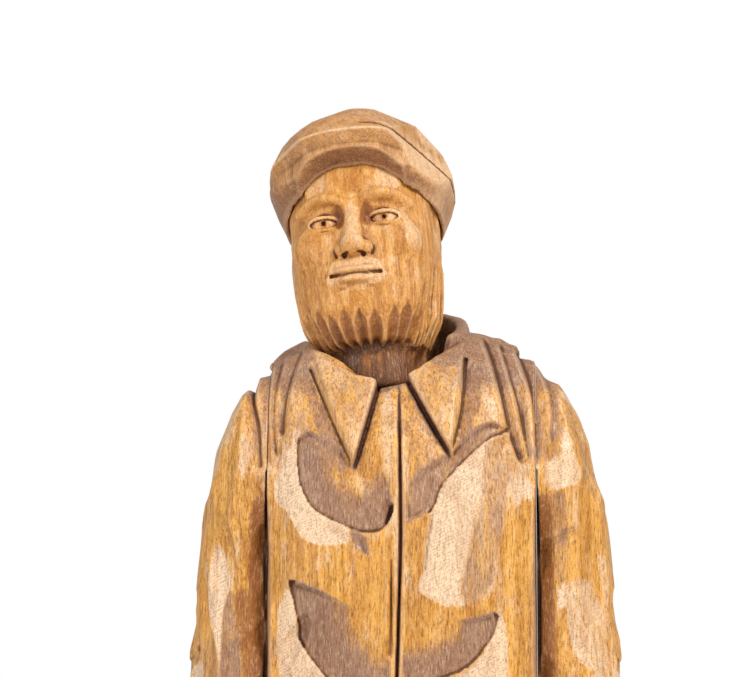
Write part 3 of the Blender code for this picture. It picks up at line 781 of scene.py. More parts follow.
def side_relief(y_range, z_range):
    """Long facets down the outside of a sleeve, and the folds at its elbow."""
    relief = Relief(y_range, z_range, RELIEF_CELL)
    relief.patch(((-12, 234), (-2, 238), (8, 232), (10, 214), (-2, 206), (-13, 214)), PALE, 0.7, 5)
    relief.patch(((-14, 207), (-3, 203), (2, 184), (-4, 168), (-13, 172), (-16, 190)), GOLD, 0.6, 5)
    relief.patch(((3, 205), (13, 208), (16, 190), (12, 172), (4, 170), (2, 186)), TAN, 0.7, 5)
    relief.patch(((-12, 165), (0, 166), (12, 158), (4, 146), (-10, 142), (-17, 152)), CREAM, 0.6, 5)
    relief.step(((-8, 171), (0, 166.5), (8, 168), (13, 172)), 0.6, 4.5, -1, TAN)
    relief.step(((-9, 160), (-2, 157), (6, 160), (12, 164)), 0.6, 4.5, -1, TAN)
    relief.groove(((-25, 139), (-14, 135.6), (-3, 133), (6, 132)), 1.6, 1.3, TAN, tail=0.02)
    relief.fibre(0.05, 1.3, 9)
    return relief


def chest_side_strokes(figure):
    """Facets down the front of each sleeve: cream where the shoulder turns, brown by the hem."""
    strokes = (
        (-45, 214, 32, 12, GOLD), (-39.6, 196, 34, 9, GOLD), (-46, 184, 24, 8, GOLD), (-49, 160, 26, 9, TAN),
        (47, 224, 26, 9, (0.3, 0.4)), (44, 206, 14, 9, PALE), (47.5, 196, 34, 9, GOLD), (41, 186,
            36, 8, GOLD),
        (51, 176, 34, 8, PALE), (44, 160, 30, 10, GOLD),
    )
    for x, z, length, width, tone in strokes:
        place = (x, front_of(figure, x, z), z)
        lean = (0.06 * math.copysign(1, -x), 0, 1)
        figure.facet(place, figure.outward(place), lean, length, width, 0.5, tone)


def front_of(block, x, z):
    """Where a block's surface is, coming from the front."""
    i = int(round(x / block.cell)) - block.first[0]
    k = int(round(z / block.cell)) - block.first[2]
    column = block.distance[i, :, k]
    return (np.argmax(column <= max(0.0, column.min())) + block.first[1]) * block.cell


def trousers_relief(x_range, z_range, folds):
    """Folds across both trouser legs, and the boots' laces below them."""
    relief = Relief(x_range, z_range, RELIEF_CELL)
    for side in (-1, 1):
        for z, sag in folds:
            x = side * LEG_OUT + 0.4 * sag
            relief.step(((x - 9, z + sag), (x - 2, z - sag), (x + 9, z + 0.6 * sag)), 0.75, 6.5, 1, tail=0.35)
        x = side * LACES_OUT
        for z in (33.5, 30, 26.5):
            relief.groove(((x - 3.6, z), (x, z - 0.5), (x + 3.6, z + 0.3)), 0.6, 0.8, BROWN, tail=0.2)
    relief.fibre(0.05, 1.3, 9)
    return relief


def carve_trousers(figure, x_range, z_range):
    """The legs' folds in front and behind, and a line round each boot above its sole."""
    x, y, z = figure.axes()
    knees = ((76, 1.6), (68, -2.0), (61, 1.4), (48, 2.2), (42, -1.4))
    figure.press(trousers_relief(x_range, z_range, knees), ease(-y, 0, 5) * ease(HEM - z, 0, 4))
    calves = ((72, -1.5), (60, 1.8), (46, -1.5))
    behind = ease(y, 0, 5) * ease(z, 38, 42) * ease(HEM - z, 0, 4)
    figure.press(trousers_relief(x_range, z_range, calves), behind)
    sole = np.clip(1 - np.abs(z - PLINTH_TOP - SOLE) / 0.8, 0, 1) + 0 * x + 0 * y
    figure.distance += (0.6 * sole).astype(np.float32)
    figure.brown[sole > 0.35] = 1.1


def pegs(inset):
    """The arm dowels' middle lines, shortened at both ends, and their radius, in mm."""
    out = []
    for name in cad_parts:
        if name.endswith(("shoulder_dowel", "pocket_dowel")):
            low, high = (corner * 1000 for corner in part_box(name))
            y, z = (low.y + high.y) / 2, (low.z + high.z) / 2
            out.append((((low.x + inset, y, z), (high.x - inset, y, z)), (high.z - low.z) / 2))
    return out


def join_sleeves(figure):
    """Closes the joint between the body block and each sleeve, so that both are carved as one."""
    body = figure.fields["body"]
    figure.distance = np.minimum(body, np.minimum(figure.fields["arm_left"], figure.fields["arm_right"]))
    for side, node in ((-1, "arm_left"), (1, "arm_right")):
        ends = (side * (SIDE - SEAM_IN), side * (ARM_SIDE + SEAM_OUT))
        columns = [round(x / figure.cell) - figure.first[0] for x in ends]
        inner, outer = body[columns[0]], figure.fields[node][columns[1]]
        for column in range(min(columns), max(columns) + 1):
            t = (column - columns[0]) / (columns[1] - columns[0])
            figure.distance[column] = inner * (1 - t) + outer * t
    for line, radius in pegs(inset=0.7):
        figure.tube(line, radius + 0.5, add=True)
    figure.fields = None


def saw_sleeve_free(figure, side):
    """The saw cut between a sleeve and the body, from the armpit down to the pocket."""
    x, y, z = figure.axes()
    out = side * x
    # The sleeve turns away into the cut, where the light hardly reaches; its colour there is painted amber
    # shade.
    near = ease(out, KERF_FAR + 5.5, KERF_FAR) * ease(out, SIDE - 1.2, SIDE + 0.6)
    turned = near * ease(ARMPIT - z, 0, 16) * ease(z - POCKET_TOP, 0, 18) * ease(-y, 0, 5)
    figure.distance += (2.4 * turned**1.3).astype(np.float32)
    figure.stain(*PAINTED_SHADE_AMBER, np.clip(turned * 2.2, 0, 1))
    # The saw wandered a little: the cut's two walls aren't quite straight, and it narrows upwards.
    wide = ease(ARMPIT - z, 0, 24)
    inward = 0.13 * (1 + np.sin(z / 7.3 + side)) * wide
    wander = 0.1 + 0.12 * np.sin(z / 5.1 - 2 * side) + 0.05 * np.sin(z / 1.9)
    outward = wander * wide - 0.5 * (1 - wide)
    kerf = np.maximum(out - KERF_FAR - outward, SIDE + 0.05 - inward - out)
    kerf = np.maximum(kerf, z - ARMPIT + 0.3 * (out - SIDE))
    kerf = np.maximum(kerf, POCKET_TOP + 2 * (out - SIDE) - z)
    kerf = np.maximum(kerf, KERF_WEB - np.abs(y + 2))
    row = out[:, 0, 0]
    sawn = np.nonzero((row > SIDE - 3) & (row < KERF_FAR + 3))[0]
    part = (slice(sawn[0], sawn[-1] + 1), slice(0, figure.shape[1]), slice(0, figure.shape[2]))
    # The saw cut's walls are painted dark: painted shade inside the narrow slot.
    figure.work(part, kerf[part[0]].astype(np.float32), tone=DARK)


def carve_figure():
    """The body block and both sleeves are carved together, so that folds run across the joints."""
    figure = Block(("body", "arm_left", "arm_right"), FIGURE_CELL, soften=1)
    join_sleeves(figure)
    x, y, z = figure.axes()
    x_range, y_range, z_range = ((float(axis.min()), float(axis.max())) for axis in (x, y, z))

    def clothed(places, normals):
        """Away from the boots, the front with its own strokes, the collar and the faces by the arms."""
        across, up = np.abs(places[:, 0]), places[:, 2]
        by_arm = (across > SIDE - 1) & (np.abs(normals[:, 0]) > 0.6) & (up > 100)
        front = ((normals[:, 1] < -0.2) | (places[:, 1] < -14)) & (up > HEM)
        collar = (np.abs(places[:, 0] + 4) < 26) & (up > 226)
        return (across > 2) & (up > 36) & ~by_arm & ~front & ~collar

    def outer(places, normals):
        return np.abs(places[:, 0]) > ARM_SIDE + 2

    palette = (GOLD, GOLD, PALE, TAN, GOLD, CREAM)
    figure.whittle("body", 210, (14, 30), (7, 13), (0.3, 0.7), clothed, tones=palette)
    for arm in ("arm_left", "arm_right"):
        figure.whittle(arm, 60, (22, 42), (8, 14), (0.2, 0.45), outer, tones=palette)
    figure.press(side_relief(y_range, z_range), ease(np.abs(x), ARM_SIDE + 4, ARM_SIDE + 10), side_u=1)
    chest_side_strokes(figure)
    carve_trousers(figure, x_range, z_range)
    figure.press(front_relief(x_range, z_range), ease(-y, 0, 6))
    figure.press(back_relief(x_range, z_range), ease(y, 0, 6))
    figure.press(folds_relief(x_range, z_range), np.ones_like(y))

    top = ease(z, 231, 239.5) * ease(np.abs(x - NECK_X) + 0.3 * y, 10, 19)
    figure.brown += (np.maximum(figure.brown, 1.3) - figure.brown) * top
    for side in (-1, 1):
        saw_sleeve_free(figure, side)
    for line, radius in pegs(inset=1.5):
        figure.tube(line, radius + 0.3)
    collar_bowl(figure)
    return figure


def collar_bowl(figure):
    """The socket that the neck stands in: rough, painted dark as shade round the neck, with a crisp rim."""
    x, y, z = figure.axes()
    rim = 251.4 + 0.36 * (y - NECK_Y) + 0.08 * (x - NECK_X)
    radius = np.sqrt(((x - NECK_X) / NECK_HOLE) ** 2 + ((y - NECK_Y) / NECK_HOLE) ** 2)
    inside = (radius < 1.0) & (z > rim - 16)
    figure.blacken(np.broadcast_to(inside, figure.shape), DARK[1])


def make_figure():
    figure = carve_figure()
    x = figure.axes()[0]
    body = figure.finish("body_block", MOST_TRIANGLES["body"], np.abs(x) - GLUE_PLANE + GLUE_LINE)
    left = figure.finish("sleeve_left", MOST_TRIANGLES["arm"], x + GLUE_PLANE + GLUE_LINE)
    right = figure.finish("sleeve_right", MOST_TRIANGLES["arm"], GLUE_PLANE + GLUE_LINE - x)
    return body, left, right


# --- The head -----------------------------------------------------------------------------------------

HEAD_RADIUS = 22.0  # the head's relief is unrolled at this radius
EYE_LINE = 38.0
EYE_APART = 7.9


def head_place():
    return Place(Matrix.Translation(HEAD_SEAT) @ HEAD_TILT.to_matrix().to_4x4())


def cap_place():
    return Place(head_place().matrix @ Matrix.Translation(CAP_SEAT) @ Matrix.Rotation(CAP_PITCH, 4, "X"))


def carve_face(head):
    """A calm, general face: eyes halfway up the head, five eye widths across, and thirds from the
    brow to the nose's base to the chin."""
    plane_face(head)
    for side in (-1, 1):
        head.egg((side * 11.2, -17.6, 31.8), (5.4, 4.4, 5.2), add=True, blend=2.5)
        brow = [
            (side * 1.6, -21.0, 42.2), (side * 5.6, -22.2, 44.0),
            (side * 9.6, -21.0, 44.2), (side * 14, -17.6, 42.0),
        ]
        head.tube(curve(brow, steps=5), 1.5, add=True, blend=1.6, tone=GOLD)
    head.egg((0, -21.3, 22.6), (8.6, 3.7, 6.4), add=True, blend=2.0, tone=PALE)
    for side in (-1, 1):
        # The eye sockets are painted tan and brown: painted shade in the hollows beside the nose.
        head.egg((side * 8.0, -25.2, 38.4), (6.2, 5.9, 3.9), blend=0.7, tone=TAN)
        head.egg((side * 4.2, -24.0, 38.8), (2.6, 3.8, 3.4), blend=0.8, tone=BROWN)
    bridge = [(0, -20.0, 43.6), (0, -21.4, 40.0), (0, -23.6, 35.0), (0, -25.6, 30.8)]
    head.tube(curve(bridge, steps=4), [1.9] * 4 + [1.7] * 4 + [2.0] * 4 + [2.6], add=True,
        blend=1.3, tone=PALE)
    head.egg((0, -25.6, 30.2), (2.9, 2.9, 2.6), add=True, blend=0.8, tone=PALE)
    for side in (-1, 1):
        head.egg((side * 3.1, -23.8, 29.4), (1.9, 2.5, 1.9), add=True, blend=0.7, tone=GOLD)
        # The nostrils are painted dark: painted shade under the nose.
        head.tube([(side * 1.5, -26.8, 27.4), (side * 2.5, -24.6, 27.6)], 0.7, tone=DARK)
        wing = [(side * 4.2, -25.0, 31.6), (side * 5.2, -23.6, 29.8), (side * 4.6, -23.6, 27.8)]
        head.tube(curve(wing, steps=4), 0.4, blend=0.4, tone=BROWN)
        head.egg((side * EYE_APART, -16.6, EYE_LINE), (4.3, 4.2, 3.9), add=True, blend=0.3, tone=PALE)
        carve_eye(head, side)
        crease = [(side * 4.9, -24.6, 28.4), (side * 7.0, -24.2, 26.0), (side * 8.2, -23.6, 22.4)]
        head.tube(curve(crease, steps=5), [0.35] * 5 + [0.55] * 5 + [0.3], blend=0.5, tone=TAN)
        head.egg((side * 2.2, -24.5, 23.6), (3.2, 1.6, 1.05), add=True, blend=0.5, tone=PALE)
    head.egg((0, -24.5, 21.2), (4.4, 1.9, 1.3), add=True, blend=0.5, tone=PALE)
    lips = [(-6.2, -23.8, 22.7), (-3.0, -25.8, 22.4), (0, -26.2, 22.5), (3.0, -25.8, 22.4), (6.2,
        -23.8, 22.7)]
    head.tube(curve(lips, steps=6), 0.42, blend=0.15, tone=DARK)
    for side in (-1, 1):
        head.egg((side * 6.3, -23.9, 22.7), (0.6, 0.7, 0.5), blend=0.3, tone=BROWN)
    head.tube([(0, -25.9, 26.8), (0, -26.4, 25.0)], 0.8, blend=0.6, tone=GOLD)
    below = [(-4.2, -24.9, 18.9), (0, -25.9, 18.4), (4.2, -24.9, 18.9)]
    head.tube(curve(below, steps=4), 0.8, blend=0.8, tone=TAN)


def plane_face(head):
    """Broad knife cuts over the forehead, temples and cheeks, before the features go in."""
    cuts = (
        (0, 49, 17, 8, GOLD), (-9, 48.5, 12, 9, PALE), (9, 48.5, 12, 9, PALE), (-15, 43, 16, 8, TAN),
        (15, 43, 16, 8, GOLD), (-14, 33, 16, 8, GOLD), (14, 33, 16, 8, PALE), (-13, 24, 12, 7, GOLD),
        (13, 24, 12, 7, GOLD),
    )
    for x, z, length, width, tone in cuts:
        place = (x, front_of(head, x, z), z)
        head.facet(place, head.outward(place), (0.05, 0, 1), length, width, 0.3, tone)


def carve_eye(head, side):
    """Two lids as arcs over the ball, a hollowed iris and a drilled pupil."""
    x0 = side * EYE_APART

    def on_ball(u, v, lift):
        reach = 1 - (u / 4.9) ** 2 - (v / 4.4) ** 2
        return (x0 + u, -16.6 - 4.3 * math.sqrt(max(reach, 0.02)) - lift, EYE_LINE + v)

    def arc(width, height, lift, power=0.85):
        turns = np.linspace(0, math.pi, 9)
        return [on_ball(-width * math.cos(a), height * math.sin(a) ** power, lift) for a in turns]

    iris = on_ball(0.0, 0.15, -0.05)
    head.egg(iris, (1.35, 0.32, 1.3), tone=BROWN)
    pupil = on_ball(0.0, 0.2, 0.1)
    head.tube([pupil, (pupil[0], pupil[1] + 0.9, pupil[2])], 0.55, tone=DARK)
    head.tube(arc(3.9, 1.65, 0.1), 0.62, add=True, blend=0.2, tone=PALE)
    head.tube(arc(3.8, -1.55, 0.05), 0.45, add=True, blend=0.25, tone=GOLD)
    head.tube(arc(3.6, 0.95, 0.1), 0.24, tone=DARK)
    head.tube(arc(3.4, -1.1, 0.1), 0.2, tone=BROWN)


def hair_relief(cell):
    """Gouge strokes for the beard's tips and flutes and the hair, over the head unrolled."""
    relief = Relief((-HEAD_RADIUS * math.pi, HEAD_RADIUS * math.pi), (-2, 66), cell)
    # The beard's lower edge: leaf-shaped strokes, side by side.
    across = -19.0
    while across < 19.5:
        width = RANDOM.uniform(3.8, 5.0)
        top = RANDOM.uniform(13.0, 16.4) + 0.008 * across**2
        relief.leaf(
            (across + RANDOM.uniform(-0.6, 0.6), top), (across + RANDOM.uniform(-0.5, 0.5), 0.5),
            width, RANDOM.uniform(1.1, 1.5), (0.0, RANDOM.uniform(0.75, 1.15)), fat=0.5,
        )
        across += width * 0.96
    # Long flutes down the cheeks' beard and round the back of the head.
    edge = 15.0
    while edge < HEAD_RADIUS * math.pi:
        for side in (-1, 1):
            jitter = RANDOM.uniform(-0.8, 0.8)
            u = side * edge + jitter
            behind = edge > 40
            top = 45 if behind else 20 + 0.9 * (edge - 14) + RANDOM.uniform(-2, 2)
            bottom = (12 if behind else 5) + RANDOM.uniform(-2, 2)
            width = RANDOM.uniform(2.2, 3.6)
            relief.leaf((u + side * 1.2, min(top, 44)), (u - side * 0.8, bottom), width,
                        RANDOM.uniform(0.6, 1.15), (0.0, RANDOM.uniform(0.1, 0.7)), fat=0.45)
            if RANDOM.random() < 0.55:
                z = RANDOM.uniform(bottom + 2, top - 6)
                relief.groove(((u + 1.3, z + 5), (u + 1.0, z), (u + 1.5, z - 5)), 0.9, 0.55, BROWN)
        edge += RANDOM.uniform(2.2, 3.1)
    relief.fibre(0.04, 1.1, 7)
    return relief


def make_head():
    head = Block(("head",), HEAD_CELL, head_place(), soften=3)
    head.distance = head.fields["head"]
    x, y, z = head.axes()
    around = np.arctan2(x, -y) * HEAD_RADIUS

    def skin(places, normals):
        """Behind the face, over the ears' places and the back of the head."""
        return (places[:, 2] > 8) & (places[:, 2] < 56) & (places[:, 1] > -13)

    palette = (GOLD, PALE, CREAM, GOLD)
    head.whittle("head", 60, (12, 22), (6, 10), (0.25, 0.5), skin, tones=palette, spread=0.2)
    carve_face(head)
    relief = hair_relief(HEAD_CELL)
    u = np.broadcast_to(around, (head.shape[0], head.shape[1], 1))
    v = np.broadcast_to(z, (1, 1, head.shape[2]))
    depth = relief.at(relief.depth, u, v)
    painted = relief.at(relief.painted, u, v)
    outside = ease(np.sqrt(x * x + y * y), 14.3, 15.6) * ease(z, 3.2, 4.4)
    head.distance += (depth * outside).astype(np.float32)
    head.stain(relief.at(relief.cream, u, v), relief.at(relief.brown, u, v), painted)
    # Painted shade: the neck below the beard is painted dark.
    neck = np.broadcast_to((z < 6.2) | ((np.sqrt(x * x + y * y) < 15) & (z < 7.4)), head.shape)
    head.blacken(neck, DARK[1])
    return head.finish("head_block", MOST_TRIANGLES["head"])


# --- The cap --------------------------------------------------------------------------------------------

BRIM_RIDGE = 1.6  # height of the brim's sharp front edge, in the cap's own axes


def undercut_brim(cap):
    """Cuts the front of the brim back below its ridge, in one slope."""
    x, y, z = cap.axes()
    level = cap.distance[:, :, round(BRIM_RIDGE / cap.cell) - cap.first[2]]
    level = np.where(level < -BAND + 0.2, -3 * BAND, level)
    inset = np.clip(0.75 * (BRIM_RIDGE - z), 0, 2.2) * ease(-y, 6, 24)
    slope = np.where(inset > 0, 0.8 * (level[:, :, None] + inset), -BAND)
    cap.distance = np.maximum(cap.distance, slope).astype(np.float32)


def make_cap():
    cap = Block(("cap",), CAP_CELL, cap_place(), soften=0)
    cap.distance = cap.fields["cap"]
    x, y, z = cap.axes()

    def crown(places, normals):
        return (normals[:, 2] > -0.1) & (places[:, 2] > 5)

    places, normals = cap.surface_places("cap", 46, crown)
    for place in places:
        lean = RANDOM.normal(0, 0.08, 3)
        tone = ((0.2, 0.3), GOLD, PALE, (0.3, 0.4), TAN)[RANDOM.integers(5)]
        cap.shave(place, cap.outward(place) + lean, RANDOM.uniform(0.3, 0.6), 14, tone)
    undercut_brim(cap)
    # One long cut down the right of the brim carries the ridge lower there.
    chop = 0.866 * x - 0.478 * y + 0.155 * z - 22.7
    chopped = ease(y, 4, -4) * ease(x, 0, 4)
    cap.distance = np.maximum(cap.distance, np.where(chopped > 0, chop - 3 * (1 - chopped), -BAND))
    cap.distance = cap.distance.astype(np.float32)
    # Painted shade under the brim's ridge: the deeper under it the darker, lighter towards both ends and
    # creamier towards the right.
    front = ease(10 - y, 0, 10)
    near = ease(np.sqrt(x * x + y * y), 13, 16)
    painted_shade_under_brim = ease(BRIM_RIDGE - 0.8 - z, -0.5, 0.6) * front * ease(-chop, 0.3, 0.9)
    back = ease(np.sqrt(x * x + y * y), 29, 22)
    ends = ease(x, 8, 20)
    tone = 0.12 + 0.8 * back - 0.35 * ends - 0.2 * ease(-x, 14, 22)
    cap.stain(0.6 * ends, tone, painted_shade_under_brim)
    face = ease(np.abs(chop), 0.9, 0.3) * front * ease(5 - z, 0, 4)
    cap.cream += (0.8 - cap.cream) * face
    # Painted highlight along the brim's sharp front edge.
    ridge = np.clip(1 - np.abs(z - BRIM_RIDGE) / 0.9, 0, 1) * front * near * ease(-chop, 0.3, 0.9)
    cap.cream += (0.95 - cap.cream) * ridge
    cap.brown *= 1 - ridge
    # A check in the wood along the right of the crown, and a groove round the band behind.
    crack = np.clip(1 - np.abs(z - 4.4 + 0.01 * x * x) / 0.45, 0, 1) * ease(x, 2, 6) * front * near
    band = np.clip(1 - np.abs(z + 1.4) / 0.9, 0, 1) * ease(y, 4, 10) * near
    cap.distance += (0.6 * crack + 0.7 * band).astype(np.float32)
    marked = np.maximum(crack, band) > 0.3
    cap.blacken(marked, 1.2)
    return cap.finish("cap_block", MOST_TRIANGLES["cap"])


# --- The plinth -------------------------------------------------------------------------------------------


def make_plinth():
    plinth = Block(("plinth",), PLINTH_CELL, soften=1)
    plinth.distance = plinth.fields["plinth"]

    def bevels(places, normals):
        return (np.abs(normals).max(axis=1) < 0.9) & (normals[:, 2] > 0.2)

    def top(places, normals):
        return normals[:, 2] > 0.9

    places, normals = plinth.surface_places("plinth", 90, bevels)
    for place, outward in zip(places, normals):
        along = np.cross(outward, (0, 0, 1))
        plinth.facet(place, outward, along, RANDOM.uniform(7, 13), 4.5, RANDOM.uniform(0.15, 0.35), PALE)
    places, normals = plinth.surface_places("plinth", 70, top)
    for place, outward in zip(places, normals):
        plinth.facet(place, outward, (1, RANDOM.normal(0, 0.1), 0), RANDOM.uniform(18, 34),
                     RANDOM.uniform(8, 14), RANDOM.uniform(0.12, 0.25), GOLD)
    return plinth.finish("plinth_block", MOST_TRIANGLES["plinth"])


# --- The felt underneath ----------------------------------------------------------------------------------


def make_felt():
    """A sheet of felt with rounded corners, laid on the floor and glued under the plinth."""
    low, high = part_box("felt_sheet")
    half_x, half_y = (high.x - low.x) / 2, (high.y - low.y) / 2
    thick, corner, edge = high.z - low.z, 0.004, 0.0004
    mesh = bpy.data.meshes.new("felt_pad")
    bm = bmesh.new()
    rings = []
    for inset, z in ((edge, 0.0), (0.0, edge), (0.0, thick - edge), (edge, thick)):
        ring = []
        for quarter, (cx, cy) in enumerate(((1, 1), (-1, 1), (-1, -1), (1, -1))):
            for step in range(9):
                a = math.pi / 2 * (quarter + step / 8)
                r = corner - inset
                x = cx * (half_x - corner) + r * math.cos(a)
                y = cy * (half_y - corner) + r * math.sin(a)
                ring.append(bm.verts.new((x, y, low.z + z)))
        rings.append(ring)
    for lower, upper in zip(rings, rings[1:]):
        for i in range(len(lower)):
            j = (i + 1) % len(lower)
            bm.faces.new((lower[i], lower[j], upper[j], upper[i]))
    bm.faces.new(rings[-1])
    bm.faces.new(reversed(rings[0]))
    bm.to_mesh(mesh)
    bm.free()
    felt = bpy.data.objects.new("felt_pad", mesh)
    felt.location = ((low.x + high.x) / 2, (low.y + high.y) / 2, 0)
    bpy.context.scene.collection.objects.link(felt)
    return felt


# --- Materials --------------------------------------------------------------------------------------------


class Surface:
    """A material whose nodes are added one by one; each call gives back the new node's output."""

    def __init__(self, name):
        self.material = bpy.data.materials.new(name)
        self.material.use_nodes = True
        self.nodes = self.material.node_tree.nodes
        self.links = self.material.node_tree.links
        self.shader = self.nodes["Principled BSDF"]
        self.object = self.nodes.new("ShaderNodeTexCoord").outputs["Object"]

    def put(self, socket, value):
        if isinstance(value, bpy.types.NodeSocket):
            self.links.new(value, socket)
        elif isinstance(value, tuple) and len(value) == 3 and socket.type == "RGBA":
            socket.default_value = (*value, 1)
        else:
            socket.default_value = value

    def node(self, kind, values, out=0, **settings):
        node = self.nodes.new(kind)
        for key, setting in settings.items():
            setattr(node, key, setting)
        for key, value in values.items():
            self.put(node.inputs[key], value)
        return node.outputs[out]

    def math(self, operation, a, b=0.0, c=0.0):
        return self.node("ShaderNodeMath", {0: a, 1: b, 2: c}, operation=operation)

    def mix(self, factor, a, b, blend="MIX"):
        values = {"Factor": factor, 6: a, 7: b}
        return self.node("ShaderNodeMix", values, out=2, data_type="RGBA", blend_type=blend)

    def spread(self, value, low, high, to_low=0.0, to_high=1.0):
        values = {"Value": value, "From Min": low, "From Max": high, "To Min": to_low, "To Max": to_high}
        return self.node("ShaderNodeMapRange", values, clamp=True, interpolation_type="SMOOTHSTEP")

    def scaled(self, scale):
        return self.node("ShaderNodeMapping", {"Vector": self.object, "Scale": scale})

    def noise(self, vector, scale=1.0, detail=2.0, rough=0.5, distort=0.0):
        values = {"Vector": vector, "Scale": scale, "Detail": detail, "Roughness": rough,
            "Distortion": distort}
        return self.node("ShaderNodeTexNoise", values)

    def bump(self, height, strength, distance):
        values = {"Height": height, "Strength": strength, "Distance": distance}
        self.put(self.shader.inputs["Normal"], self.node("ShaderNodeBump", values))

    def look(self, **values):
        for key, value in values.items():
            self.put(self.shader.inputs[key.replace("_", " ")], value)
        return self.material


def grain(surface, pith, ring=2.6):
    """Rings about a pith outside the block, streaks along the grain, and pores as short dashes."""
    warp = surface.noise(surface.scaled((14, 14, 3)), detail=2)
    away = surface.node("ShaderNodeVectorMath", {0: surface.object, 1: pith}, operation="SUBTRACT")
    flat = surface.node("ShaderNodeVectorMath", {0: away, 1: (1, 1, 0.13)}, operation="MULTIPLY")
    distance = surface.node("ShaderNodeVectorMath", {0: flat}, out=1, operation="LENGTH")
    rings = surface.math("MULTIPLY", distance, 1000 / ring)
    count = surface.math("ADD", rings, surface.math("MULTIPLY", warp, 5))
    phase = surface.math("FRACT", count)
    late = surface.math("MULTIPLY", surface.spread(phase, 0.35, 0.93), surface.spread(phase, 1.0, 0.93))
    streaks = surface.noise(surface.scaled((520, 520, 34)), detail=3, rough=0.62)
    pores = surface.noise(surface.scaled((2700, 2700, 420)), detail=2, rough=0.6)
    return late, streaks, pores


def tool_lines(surface, spacing, direction, wander, broken):
    """Fine broken lines across the grain: where end grain shows, and where an edge chattered."""
    shift = surface.noise(surface.scaled((160, 160, 160)), detail=3)
    values = {0: surface.object, 1: direction}
    run = surface.node("ShaderNodeVectorMath", values, out=1, operation="DOT_PRODUCT")
    count = surface.math("MULTIPLY_ADD", run, 1000 / spacing, surface.math("MULTIPLY", shift, wander))
    phase = surface.math("PINGPONG", count, 0.5)
    return surface.math("MULTIPLY", surface.spread(phase, 0.22, 0.02), surface.spread(broken, 0.36, 0.56))


